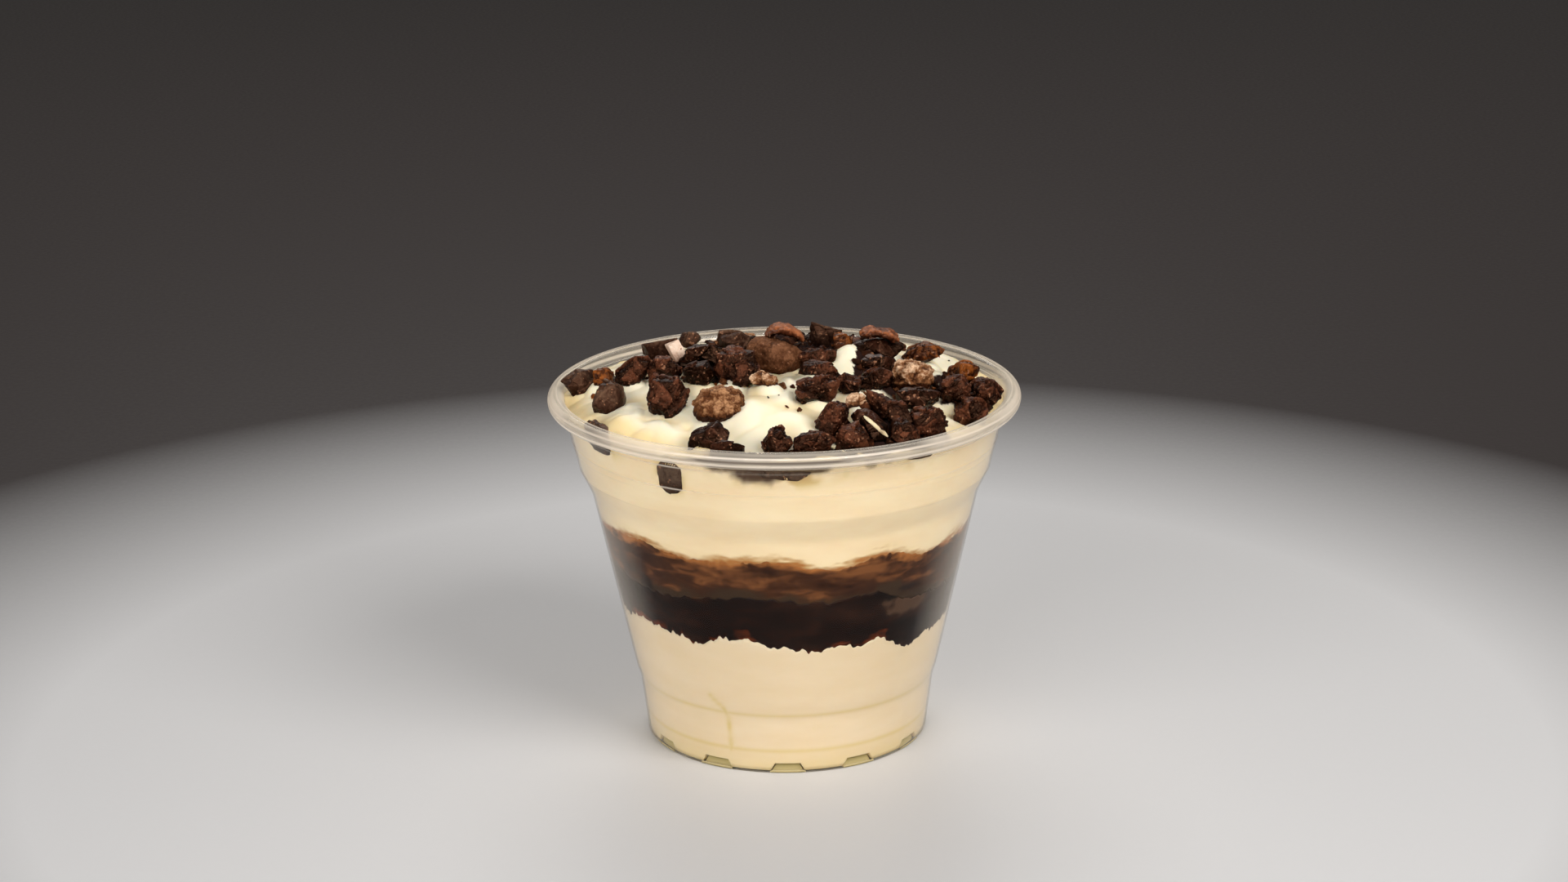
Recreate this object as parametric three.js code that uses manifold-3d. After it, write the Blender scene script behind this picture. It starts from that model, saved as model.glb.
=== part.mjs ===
// Tiramisu cup: a clear tapered dessert cup filled with cream, a dark and a brown sponge layer,
// and more cream heaped above the rim under broken pieces of brownie, chocolate and biscuit.
// Units are millimetres, +Z is up, the origin is the middle of the underside and -Y is the front.
import * as THREE from 'three';
import { ConvexGeometry } from 'three/addons/geometries/ConvexGeometry.js';
import { mergeVertices } from 'three/addons/utils/BufferGeometryUtils.js';
import Module from 'manifold-3d';

const wasm = await Module();
wasm.setup();

// Driving dimensions of the cup
const RIM_HEIGHT = 74.3;
const RIM_RADIUS = 49;
const WALL = 0.55;
const FLOOR = 0.6;
const BEAD_RADIUS = 1.75;
const BEAD_STEPS = 8;
const BEAD_FROM = -135;
const BEAD_TO = 180;
// Outer wall from the foot up: foot, lower wall, step, long taper, shoulder, collar
const WALL_OUTLINE = [[0, 29.5], [12.2, 31.0], [15, 31.9], [53.5, 40.4], [58.5, 42.8], [69, 45.3]];
const COLLAR_TOP = 69;
const FOOT_EDGE = 0.5;

// Twelve recesses under the foot, each a trapezoid that is narrower at the top. The wall runs past in
// front of them, and the food stands back behind them.
const NOTCHES = 12;
const NOTCH_HEIGHT = 1.95;
const NOTCH_DEPTH = 2.4;
const NOTCH_FRONT = 1;
const NOTCH_HALF_BOTTOM = 6.6;
const NOTCH_HALF_TOP = 4.6;
const NOTCH_SIDE = 0.8;
const NOTCH_CEILING = 0.15;
const EVEN_ABOVE = 12.2;

// Clearance between pieces, and the number of faces round every turned piece
const GAP = 0.3;
const COLUMNS_A_NOTCH = 6;
const COLUMNS = NOTCHES * COLUMNS_A_NOTCH;

// Where each layer meets the next at the wall: degrees round from the front, height
const DARK_BOTTOM = [[-150, 28], [-100, 27.5], [-52, 30.4], [-34, 29], [-18, 31.2], [-3, 29], [20, 28.6],
  [33, 29], [46, 26], [60, 26.8], [100, 27], [140, 29.5]];
const DARK_TOP = [[-150, 38], [-100, 39.5], [-45, 38.4], [-10, 40.4], [12, 39.2], [28, 40.3], [42, 37],
  [60, 36], [100, 38.5], [140, 40]];
const BROWN_TOP = [[-150, 48.5], [-100, 46.8], [-52, 49.6], [-26, 48], [-5, 48.9], [14, 46.7], [30, 48.7],
  [48, 46.4], [62, 47], [100, 48.6], [140, 47]];

// The upper cream: a low dome that meets the wall below the rim, with soft swells and dips
const CREAM_EDGE = -3;
const CREAM_DOME = 9;
const CREAM_RADIUS = 45;
const CREAM_SWELLS = [
  { across: -33.5, deep: -26, radius: 5, rise: 2 },
  { across: -27, deep: -30, radius: 7, rise: 1.2 },
  { across: -37, deep: 12, radius: 9, rise: 1.2 },
  { across: -7, deep: -27, radius: 5.5, rise: 2.4 },
  { across: 1, deep: -30, radius: 6, rise: 1.6 },
  { across: -8, deep: -37, radius: 5, rise: -1.4 },
  { across: 13.5, deep: -5, radius: 5, rise: 4.6 },
  { across: 33, deep: -22, radius: 6, rise: -0.8 },
  { across: 36, deep: 18, radius: 9, rise: 1.4 },
  { across: -12, deep: 34, radius: 8, rise: 0.8 },
  { across: 28, deep: 32, radius: 7, rise: 1 },
];
const CREAM_RINGS = 13;
const PIECE_SINK = 1.2;
const PIECE_SLOPE = 0.22;

// The heap: height of the pieces' middles above the rim, at the wall and in the centre
const HEAP_EDGE = -1.4;
const HEAP_TOP = 8.8;
const HEAP_RADIUS = 44.5;
const SETTLE_ROUNDS = 400;

// Broken pieces, from the front of the cup to the back. Each row gives its colour and form,
// across (x), deep (y), lift off the heap, width, depth, height, turn and roll in degrees.
const PIECES = [
  ['black', 'crag', -14.4, -37.8, 0.2, 10.6, 6.4, 6, -6, -14],
  ['cocoa', 'lump', -1.4, -40.6, -0.2, 5.6, 5, 6, 10, 0],
  ['cocoa', 'lump', 5.6, -40.4, -0.6, 8.4, 5.4, 5, 0, 0],
  ['cocoa', 'crag', 13.2, -38.4, -0.2, 7.2, 5.6, 6.4, 20, 10],
  ['cocoa', 'lump', 9.6, -34.2, 0.4, 6.4, 5.8, 8, 0, 30],
  ['black', 'crag', 17, -35, 0.4, 10.4, 4.4, 5, -14, 44],
  ['cocoa', 'lump', 23.2, -33.6, -0.2, 5.8, 5, 6, 0, 0],
  ['cocoa', 'crag', 20.4, -29.4, 0.6, 11, 4.4, 4.8, -18, 32],
  ['cocoa', 'lump', 28.6, -28.6, -0.2, 7.6, 6.4, 7, 15, -10],
  ['cocoa', 'lump', 38.2, -19.2, 0, 6.2, 5.8, 6.2, 50, 0],
  ['cocoa', 'lump', 41.2, -9, 0.4, 7, 8, 8, 10, 20],
  ['tan', 'lump', -13, -28, 0.4, 11, 8.4, 8, 0, -10],
  ['cocoa', 'lump', -23.2, -22.4, 0.6, 8.4, 7.4, 9.2, 12, 10],
  ['cocoa', 'lump', -35.6, -15.8, 0.8, 6.4, 5.8, 8, -10, 15],
  ['tan', 'crag', -3.8, -20.8, 0.6, 6.6, 5, 4.8, 15, 25],
  ['cocoa', 'lump', 6.4, -24.2, 0.6, 8.8, 6.4, 5.4, -5, -12],
  ['cocoa', 'crag', 13.2, -21.6, 0.6, 5, 4.8, 5, 30, 20],
  ['tan', 'lump', 15, -26.4, 0.2, 4.6, 4.2, 3.8, 0, 0],
  ['cocoa', 'crag', 18.6, -18.2, 0.8, 8.4, 6.2, 5.8, -20, -20],
  ['black', 'lump', 26.4, -20.8, 0, 9.4, 6.4, 4.8, 5, 0],
  ['tan', 'lump', 26, -13.6, 1.2, 9.4, 7, 7, 0, -8],
  ['cocoa', 'crag', 34.8, -13.8, 0.8, 7.6, 7, 7.6, 0, 10],
  ['rust', 'crag', 36.8, -2.6, 1, 9, 6.6, 5.4, -14, -22],
  ['grey', 'crag', -42.2, 0.2, 1.2, 7.6, 5.6, 6.6, 25, -40],
  ['rust', 'lump', -37.2, -1.8, 0.8, 5, 4.6, 4.8, 0, 0],
  ['rust', 'lump', -30.6, -6, 0.8, 9, 5, 5.2, 10, -34],
  ['cocoa', 'lump', -24.6, -7.6, 0.4, 7.2, 5.4, 4.8, 0, 12],
  ['grey', 'wedge', -26, 3.2, 1.2, 8, 5, 5.4, 8, -6],
  ['pink', 'slab', -21.8, -0.8, 0.8, 3, 3, 6.2, 10, -26],
  ['black', 'crag', -16.6, -14.4, 0.4, 7, 6, 5.6, 0, 0],
  ['cocoa', 'crag', -9.6, -14.8, 0.6, 10.4, 8, 8.6, -20, 18],
  ['black', 'crag', -16.2, -3.6, 0.6, 9.6, 7.4, 6, 10, 0],
  ['grey', 'crag', -19.8, 15.6, 0.4, 6.2, 5.4, 4.6, -15, -12],
  ['grey', 'crag', -10.4, 3.4, 0.6, 8.8, 6, 5, 5, 0],
  ['grey', 'lump', -2, -7, -1.2, 12, 8, 8, 0, 4],
  ['cocoa', 'crag', 6.6, -7.2, -0.4, 8, 6.4, 6, 0, -10],
  ['cocoa', 'crag', 7.4, -16, 0.4, 9.2, 5.6, 4.6, -8, 8],
  ['rust', 'lump', 12, 2.4, 0.4, 5, 4, 3.8, 0, 0],
  ['black', 'crag', 18.4, -8.4, 0.4, 8.2, 6, 5, 6, 0],
  ['black', 'crag', 19.2, 1.8, 0.2, 11, 7.4, 6, 0, 0],
  ['rust', 'crag', 28.8, 5.2, 0.8, 8.8, 6.6, 5, -18, -20],
  ['grey', 'wedge', 8.8, 8.4, 0, 7.4, 5, 5.4, -12, 14],
];

// The heap's far side: more broken pieces, spread by a spiral over an oval, half sunk in the cream
const BEHIND = { count: 15, across: 4, deep: 26, halfAcross: 21, halfDeep: 16, small: 5, large: 7.4 };
const BEHIND_SQUASH = 0.72;
const BEHIND_RISE = -0.06;

// Two thin curls of chocolate on top of the heap, dropped until they lie on it: a bent strip with its
// outer radius, the degrees that it bends through, and its lean
const CURLS = [
  { across: 0.4, deep: -3.4, radius: 6.2, thickness: 1.6, width: 6, sweep: 92, lean: 8 },
  { across: 19.6, deep: 1, radius: 9.5, thickness: 1.5, width: 6, sweep: 58, lean: 8 },
];
const CURL_STEPS = 10;
const DROP_FROM = 22;
const DROP_STEP = 0.1;

// Flat pieces pressed against the inside of the wall: degrees round from the front, middle height,
// width round the wall, height and thickness
const PRESSED = [
  { round: -56, middle: 71, width: 9.4, height: 6.8, thickness: 3 },
  { round: -30.8, middle: 66.6, width: 5, height: 6.2, thickness: 2.4 },
  { round: -14, middle: 73.6, width: 6.6, height: 4.6, thickness: 3 },
  { round: -0.6, middle: 68.3, width: 17, height: 3.4, thickness: 2.6 },
  { round: 36, middle: 69.2, width: 6, height: 2.8, thickness: 2.4 },
];
const PRESSED_STEPS = 4;

const COLOURS = {
  cocoa: 0x3b2218, black: 0x231613, grey: 0x4a3a34, rust: 0x7a3a1c, tan: 0x9a7150, pink: 0xb98f7a,
};

// A repeatable stream of numbers between 0 and 1
function numbers(seed) {
  let state = seed;
  return () => {
    state = (state * 16807) % 2147483647;
    return state / 2147483647;
  };
}

function mix(a, b, share) {
  return a + (b - a) * share;
}

function clamp01(value) {
  return Math.min(1, Math.max(0, value));
}

// Radius of the outer wall at a height, moved inward by the inset
function wallRadius(height, inset = 0) {
  const next = Math.max(1, WALL_OUTLINE.findIndex(([z]) => z >= height));
  const above = height > COLLAR_TOP ? WALL_OUTLINE.length - 1 : next;
  const [z0, r0] = WALL_OUTLINE[above - 1];
  const [z1, r1] = WALL_OUTLINE[above];
  return mix(r0, r1, (height - z0) / (z1 - z0)) - inset;
}

// Height all round, eased between the listed points [degrees, height]
function around(points, degrees) {
  const [firstAngle, firstHeight] = points[0];
  const turned = ((degrees - firstAngle) % 360 + 360) % 360 + firstAngle;
  const after = points.findIndex(([angle]) => angle > turned);
  const [a0, z0] = points.at(after < 0 ? -1 : after - 1);
  const [a1, z1] = after < 0 ? [firstAngle + 360, firstHeight] : points[after];
  const ease = (1 - Math.cos(Math.PI * (turned - a0) / (a1 - a0))) / 2;
  return mix(z0, z1, ease);
}

// A layer's face across the cup: as listed at the wall, evening out towards the middle
function layerFace(points, degrees, share) {
  const mean = points.reduce((sum, [, height]) => sum + height, 0) / points.length;
  return mix(mean, around(points, degrees), share * share);
}

// The direction of one column of faces. Near the foot the columns follow the sides of the recesses.
function columnDegrees(column, height, inset) {
  const place = column % COLUMNS_A_NOTCH;
  const middle = Math.floor(column / COLUMNS_A_NOTCH) * (360 / NOTCHES);
  const even = [0, 5, 10, 15, 20, 25][place];
  const spread = inset / WALL_OUTLINE[0][1] * 180 / Math.PI;
  const low = mix(NOTCH_HALF_BOTTOM, NOTCH_HALF_TOP, clamp01(height / NOTCH_HEIGHT)) + spread;
  const side = low + NOTCH_SIDE;
  const near = [0, low, side, 15, 30 - side, 30 - low][place];
  const share = clamp01((height - NOTCH_HEIGHT - 1) / (EVEN_ABOVE - NOTCH_HEIGHT - 1));
  return middle + mix(near, even, share);
}

function inRecess(column) {
  return [0, 1, COLUMNS_A_NOTCH - 1].includes(column % COLUMNS_A_NOTCH);
}

// Joins shared vertices and drops the faces that closed up at the axis
function weld(geometry) {
  geometry.deleteAttribute('normal');
  geometry.deleteAttribute('uv');
  const welded = mergeVertices(geometry, 1e-5);
  const index = welded.getIndex().array;
  const kept = [];
  for (let i = 0; i < index.length; i += 3) {
    const [a, b, c] = [index[i], index[i + 1], index[i + 2]];
    if (a !== b && b !== c && c !== a) kept.push(a, b, c);
  }
  welded.setIndex(kept);
  return welded;
}

// A turned solid whose every point may depend on its column: pointAt gives [degrees, radius, height]
function spun(rowCount, pointAt) {
  const profile = Array.from({ length: rowCount }, (_, row) => new THREE.Vector2(1, row));
  const geometry = new THREE.LatheGeometry(profile, COLUMNS);
  const position = geometry.getAttribute('position');
  for (let column = 0; column <= COLUMNS; column += 1) {
    for (let row = 0; row < rowCount; row += 1) {
      const [degrees, radius, height] = pointAt(column % COLUMNS, row);
      const angle = THREE.MathUtils.degToRad(degrees);
      const at = column * rowCount + row;
      position.setXYZ(at, radius * Math.sin(angle), -radius * Math.cos(angle), height);
    }
  }
  return weld(geometry);
}

// Wall rows from the floor to the step, shared by the cup's inside and by the lowest cream
function footRows(floor, inset) {
  const ceiling = NOTCH_HEIGHT + inset;
  return [
    { height: floor, notched: true },
    { height: ceiling, notched: true },
    { height: ceiling + NOTCH_CEILING, notched: false },
    { height: WALL_OUTLINE[1][0], notched: false },
    { height: WALL_OUTLINE[2][0], notched: false },
  ];
}

function wallPoint(column, row, inset) {
  const depth = row.notched && inRecess(column) ? NOTCH_DEPTH : 0;
  return [columnDegrees(column, row.height, inset), wallRadius(row.height, inset) - depth, row.height];
}

// The underside, from the middle out: up the back of each recess and down its front
function undersidePoint(column, row) {
  const foot = WALL_OUTLINE[0][1];
  const [back, front] = [foot - NOTCH_DEPTH, foot - NOTCH_FRONT];
  const radius = [0, back, back, front, front, foot - FOOT_EDGE][row];
  const lifted = (row === 2 || row === 3) && inRecess(column);
  const height = lifted ? NOTCH_HEIGHT : 0;
  return [columnDegrees(column, height, 0), radius, height];
}

// The clear cup: out along the underside, up the wall, round the bead, and down the inside
function cupGeometry() {
  const plain = ([height]) => ({ height, notched: false });
  const underside = 6;
  const outer = [plain([FOOT_EDGE]), ...WALL_OUTLINE.slice(1).map(plain)];
  const inner = [...footRows(FLOOR, WALL), ...WALL_OUTLINE.slice(3).map(plain)].reverse();
  const beadMiddle = RIM_RADIUS - BEAD_RADIUS;
  const beadHeight = RIM_HEIGHT - BEAD_RADIUS;
  const bead = Array.from({ length: BEAD_STEPS }, (_, step) => {
    const angle = THREE.MathUtils.degToRad(mix(BEAD_FROM, BEAD_TO, step / (BEAD_STEPS - 1)));
    return [beadMiddle + BEAD_RADIUS * Math.cos(angle), beadHeight + BEAD_RADIUS * Math.sin(angle)];
  });
  const rows = underside + outer.length + bead.length + inner.length + 1;
  return spun(rows, (column, row) => {
    if (row === rows - 1) return [0, 0, FLOOR];
    if (row < underside) return undersidePoint(column, row);
    const onOuter = row - underside;
    if (onOuter < outer.length) return wallPoint(column, outer[onOuter], 0);
    const onBead = onOuter - outer.length;
    if (onBead < bead.length) return [columnDegrees(column, RIM_HEIGHT, 0), ...bead[onBead]];
    return wallPoint(column, inner[onBead - bead.length], WALL);
  });
}

// A layer that fills the cup from one face to another, standing clear of the wall
function layerGeometry(bottomAt, topAt, middleRows, topShares) {
  const inset = WALL + GAP;
  const bottomShares = [0, 0.5, 1];
  const rows = bottomShares.length + middleRows.length + topShares.length;
  return spun(rows, (column, row) => {
    const onMiddle = row - bottomShares.length;
    const onTop = onMiddle - middleRows.length;
    if (onMiddle >= 0 && onTop < 0) return wallPoint(column, middleRows[onMiddle], inset);
    const share = onTop < 0 ? bottomShares[row] : topShares[onTop];
    const face = onTop < 0 ? bottomAt : topAt;
    if (share === 0) return [0, 0, face(0, 0)];
    const even = columnDegrees(column, EVEN_ABOVE, inset);
    const edge = { height: face(even, 1), notched: onTop < 0 && middleRows[0]?.notched };
    const [degrees, radius] = wallPoint(column, edge, inset);
    return [degrees, radius * share, face(degrees, share)];
  });
}

// Height of the cream's own surface, before the pieces press into it
function creamSurface(across, deep) {
  const flat = Math.hypot(across, deep) / CREAM_RADIUS;
  let height = RIM_HEIGHT + CREAM_EDGE + CREAM_DOME * (1 - flat * flat);
  for (const swell of CREAM_SWELLS) {
    const away = Math.hypot(across - swell.across, deep - swell.deep) / swell.radius;
    height += swell.rise * Math.exp(-away * away);
  }
  return height;
}

// Corner points of a rough piece: ways spread evenly over a ball, pushed out towards a box's faces
function roughPoints(count, spread, random) {
  return Array.from({ length: count }, (_, i) => {
    const up = 1 - 2 * (i + 0.5) / count;
    const turn = i * Math.PI * (3 - Math.sqrt(5)) + random() * 0.6;
    const flat = Math.sqrt(1 - up * up);
    const way = new THREE.Vector3(flat * Math.cos(turn), flat * Math.sin(turn), up);
    const cubes = Math.abs(way.x) ** 3 + Math.abs(way.y) ** 3 + Math.abs(way.z) ** 3;
    return way.multiplyScalar((1.04 - spread * random()) / Math.cbrt(cubes));
  });
}

// Corner points of a snapped piece: a box narrowed towards its underside, with uneven corners
function snappedPoints(taper, random) {
  const points = [];
  for (const x of [-1, 1]) {
    for (const y of [-1, 1]) {
      for (const z of [-1, 1]) {
        const keep = z < 0 ? taper : 1;
        points.push(new THREE.Vector3(x * keep, y * keep, z).multiplyScalar(0.72 + 0.3 * random()));
      }
    }
  }
  for (let i = 0; i < 6; i += 1) {
    const side = new THREE.Vector3(random() - 0.5, random() - 0.5, random() - 0.5).normalize();
    points.push(side.multiplyScalar(1.02));
  }
  return points;
}

const FORMS = {
  lump: (random) => roughPoints(20, 0.2, random),
  crag: (random) => roughPoints(13, 0.34, random),
  slab: (random) => snappedPoints(0.92, random),
  wedge: (random) => snappedPoints(0.3, random),
};

// One broken piece, ready to be settled: its corners about its middle, and where it lies
function brokenPiece(row, number) {
  const [colour, form, across, deep, lift, width, depth, height, turn, roll] = row;
  const random = numbers(101 + number * 37);
  const half = new THREE.Vector3(width / 2, depth / 2, height / 2);
  const radians = THREE.MathUtils.degToRad;
  const pose = new THREE.Euler((random() - 0.5) * 0.5, radians(roll), radians(turn));
  const points = FORMS[form](random).map((point) => point.multiply(half).applyEuler(pose));
  const flat = Math.hypot(across, deep) / HEAP_RADIUS;
  const middle = RIM_HEIGHT + HEAP_EDGE + (HEAP_TOP - HEAP_EDGE) * (1 - flat * flat) + lift;
  return { colour, points, place: new THREE.Vector3(across, deep, middle), free: true };
}

// The pieces of the far side. They belong to the cream that they are sunk in.
function behindPiece(number) {
  const random = numbers(409 + number * 71);
  const out = Math.sqrt((number + 0.5) / BEHIND.count);
  const turn = number * Math.PI * (3 - Math.sqrt(5));
  const across = BEHIND.across + BEHIND.halfAcross * out * Math.cos(turn);
  const deep = BEHIND.deep + BEHIND.halfDeep * out * Math.sin(turn);
  const size = mix(BEHIND.small, BEHIND.large, random());
  const half = new THREE.Vector3(size / 2, size / 2 * 0.85, size / 2 * BEHIND_SQUASH);
  const pose = new THREE.Euler((random() - 0.5) * 0.5, (random() - 0.5) * 0.5, random() * Math.PI);
  const points = FORMS.crag(random).map((point) => point.multiply(half).applyEuler(pose));
  const middle = creamSurface(across, deep) + size * BEHIND_RISE;
  return { colour: 'cocoa', points, place: new THREE.Vector3(across, deep, middle), free: false, sunk: true };
}

// A bent strip, cut from a flat ring and given its width
function curlGeometry(curl) {
  const outline = new THREE.Shape();
  const half = THREE.MathUtils.degToRad(curl.sweep / 2);
  const up = Math.PI / 2;
  outline.absarc(0, 0, curl.radius, up + half, up - half, true);
  outline.absarc(0, 0, curl.radius - curl.thickness, up - half, up + half, false);
  outline.closePath();
  const settings = { depth: curl.width, bevelEnabled: false, steps: 1, curveSegments: CURL_STEPS };
  const strip = new THREE.ExtrudeGeometry(outline, settings);
  strip.translate(0, -curl.radius, -curl.width / 2);
  strip.rotateX(Math.PI / 2);
  strip.rotateY(THREE.MathUtils.degToRad(curl.lean));
  return weld(strip);
}

// A flat piece against the wall: a short arc, thinner towards its ends
function pressedPiece(pressed, number) {
  const random = numbers(907 + number * 53);
  const points = [];
  const outer = wallRadius(pressed.middle, WALL + GAP);
  for (let step = 0; step <= PRESSED_STEPS; step += 1) {
    const share = step / PRESSED_STEPS - 0.5;
    const degrees = pressed.round + THREE.MathUtils.radToDeg(share * pressed.width / outer);
    const angle = THREE.MathUtils.degToRad(degrees);
    const tall = pressed.height * (1 - 1.6 * share * share) * (0.84 + 0.16 * random());
    for (const side of [-0.5, 0.5]) {
      const height = pressed.middle + side * tall;
      const face = wallRadius(height, WALL + GAP);
      for (const radius of [face, face - pressed.thickness * (0.7 + 0.3 * random())]) {
        points.push(new THREE.Vector3(radius * Math.sin(angle), -radius * Math.cos(angle), height));
      }
    }
  }
  const middle = points.reduce((sum, point) => sum.add(point), new THREE.Vector3());
  middle.divideScalar(points.length);
  points.forEach((point) => point.sub(middle));
  return { colour: 'black', points, place: middle, free: false };
}

// Adds what settling needs: the hull, its reach, and one direction for each of its faces
function withHull(piece) {
  const geometry = weld(new ConvexGeometry(piece.points));
  const position = geometry.getAttribute('position');
  const index = geometry.getIndex().array;
  const corner = (i) => new THREE.Vector3().fromBufferAttribute(position, index[i]);
  const ways = [];
  for (let i = 0; i < index.length; i += 3) {
    const a = corner(i);
    const way = corner(i + 1).sub(a).cross(corner(i + 2).sub(a)).normalize();
    ways.push(way);
  }
  const reach = Math.max(...piece.points.map((point) => point.length()));
  return { ...piece, geometry, ways, reach };
}

function furthest(piece, way) {
  return Math.max(...piece.points.map((point) => point.dot(way))) + piece.place.dot(way);
}

// The widest clear gap between two pieces along any face of either, and the way from a to b
function clearance(a, b) {
  let best = { gap: -Infinity };
  for (const [from, to, sign] of [[a, b, 1], [b, a, -1]]) {
    for (const way of from.ways) {
      const gap = -furthest(to, way.clone().negate()) - furthest(from, way);
      if (gap > best.gap) best = { gap, way: way.clone().multiplyScalar(sign) };
    }
  }
  return best;
}

// How far out a piece may reach: to the wall, then to the bead's inner side, then over its top
function roomRadius(height) {
  if (height > RIM_HEIGHT + GAP) return RIM_RADIUS - BEAD_RADIUS;
  if (height > COLLAR_TOP) return RIM_RADIUS - 2 * BEAD_RADIUS - GAP * 1.5;
  return wallRadius(height, WALL + GAP);
}

// Moves crossing pieces apart, a little at a time, and keeps every free piece inside the rim
function settle(pieces) {
  const margin = GAP + 0.02;
  for (let round = 0; round < SETTLE_ROUNDS; round += 1) {
    let moved = false;
    for (let i = 0; i < pieces.length; i += 1) {
      for (let j = i + 1; j < pieces.length; j += 1) {
        const [a, b] = [pieces[i], pieces[j]];
        const near = (a.free || b.free) && a.place.distanceTo(b.place) < a.reach + b.reach + GAP;
        const best = near ? clearance(a, b) : { gap: GAP };
        if (best.gap < GAP) {
          const push = margin - best.gap;
          const shareA = a.free ? (b.free ? 0.5 : 1) : 0;
          a.place.addScaledVector(best.way, -push * shareA);
          b.place.addScaledVector(best.way, push * (1 - shareA));
          moved = true;
        }
      }
    }
    for (const piece of pieces.filter(({ free }) => free)) {
      for (const point of piece.points) {
        const spot = point.clone().add(piece.place);
        const room = roomRadius(spot.z);
        const flat = Math.hypot(spot.x, spot.y);
        if (flat > room) {
          piece.place.x -= spot.x / flat * (flat - room);
          piece.place.y -= spot.y / flat * (flat - room);
        }
      }
    }
    if (!moved) break;
  }
}

function toSolid(geometry) {
  const vertProperties = new Float32Array(geometry.getAttribute('position').array);
  const triVerts = new Uint32Array(geometry.getIndex().array);
  return new wasm.Manifold(new wasm.Mesh({ numProp: 3, vertProperties, triVerts }));
}

function fromSolid(solid) {
  const { vertProperties, triVerts } = solid.getMesh();
  const geometry = new THREE.BufferGeometry();
  geometry.setAttribute('position', new THREE.BufferAttribute(vertProperties, 3));
  geometry.setIndex(new THREE.BufferAttribute(triVerts, 1));
  return geometry;
}

// The piece's own hull, or one grown by the gap, in its place
function pieceGeometry(piece, grow) {
  const points = piece.points.map((point) => {
    const out = point.clone().normalize().multiplyScalar(grow);
    return point.clone().add(out).add(piece.place);
  });
  return weld(new ConvexGeometry(points));
}

const behind = Array.from({ length: BEHIND.count }, (_, number) => behindPiece(number));
const pieces = [...PIECES.map(brokenPiece), ...PRESSED.map(pressedPiece), ...behind].map(withHull);
settle(pieces);

// Height of the upper cream where it holds a piece up: it rises to just above the piece's underside
function creamTop(across, deep) {
  let height = creamSurface(across, deep);
  for (const piece of pieces.filter(({ free }) => free)) {
    const underside = -furthest(piece, new THREE.Vector3(0, 0, -1));
    const away = Math.hypot(across - piece.place.x, deep - piece.place.y);
    const beyond = Math.max(0, away - 0.3 * piece.reach);
    height = Math.max(height, underside + PIECE_SINK - PIECE_SLOPE * beyond * beyond);
  }
  return height;
}

// Lowers a curl from above the heap until it all but touches a piece
function dropCurl(curl) {
  const below = pieces.map((piece) => toSolid(pieceGeometry(piece, GAP * 1.2)));
  const shape = curlGeometry(curl);
  shape.translate(curl.across, curl.deep, RIM_HEIGHT + DROP_FROM);
  const touches = (geometry) => below.some((piece) => !piece.intersect(toSolid(geometry)).isEmpty());
  let dropped = 0;
  while (dropped < DROP_FROM && !touches(shape)) {
    shape.translate(0, 0, -DROP_STEP);
    dropped += DROP_STEP;
  }
  return shape.translate(0, 0, DROP_STEP);
}

const face = (points, shift) => (degrees, share) => layerFace(points, degrees, share) + shift;
const capShares = [1, 0.5, 0];
const creamShares = Array.from({ length: CREAM_RINGS + 1 }, (_, ring) => 1 - ring / CREAM_RINGS);
const creamFace = (degrees, share) => {
  const angle = THREE.MathUtils.degToRad(degrees);
  const radius = share * wallRadius(COLLAR_TOP, WALL + GAP);
  return creamTop(radius * Math.sin(angle), -radius * Math.cos(angle));
};
const shoulderRows = WALL_OUTLINE.slice(3, 5).map(([height]) => ({ height, notched: false }));

const lowestCream = layerGeometry(
  () => FLOOR + GAP, face(DARK_BOTTOM, -GAP / 2), footRows(FLOOR + GAP, WALL + GAP).slice(1), capShares);
const darkSponge = layerGeometry(face(DARK_BOTTOM, GAP / 2), face(DARK_TOP, -GAP / 2), [], capShares);
const brownSponge = layerGeometry(face(DARK_TOP, GAP / 2), face(BROWN_TOP, -GAP / 2), [], capShares);
const wholeCream = layerGeometry(face(BROWN_TOP, GAP / 2), creamFace, shoulderRows, creamShares);

let upperCream = toSolid(wholeCream);
for (const piece of pieces.filter(({ sunk }) => sunk)) {
  upperCream = upperCream.add(toSolid(pieceGeometry(piece, 0)));
}
for (const piece of pieces.filter(({ sunk }) => !sunk)) {
  upperCream = upperCream.subtract(toSolid(pieceGeometry(piece, GAP * 1.5)));
}

const tiramisu = new THREE.Group();

function add(name, geometry, settings) {
  geometry.computeVertexNormals();
  const mesh = new THREE.Mesh(geometry, new THREE.MeshStandardMaterial(settings));
  mesh.name = name;
  tiramisu.add(mesh);
  return mesh;
}

add('cup', cupGeometry(), { color: 0xf2f2ee, roughness: 0.08, metalness: 0, transparent: true, opacity: 0.3 });
add('cream_lower', lowestCream, { color: 0xf0dcb2, roughness: 0.5, metalness: 0 });
add('sponge_dark', darkSponge, { color: 0x2a1c1a, roughness: 0.6, metalness: 0 });
add('sponge_brown', brownSponge, { color: 0x5c3b26, roughness: 0.7, metalness: 0 });
add('cream_upper', fromSolid(upperCream), { color: 0xfbf2d6, roughness: 0.45, metalness: 0 });

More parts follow.
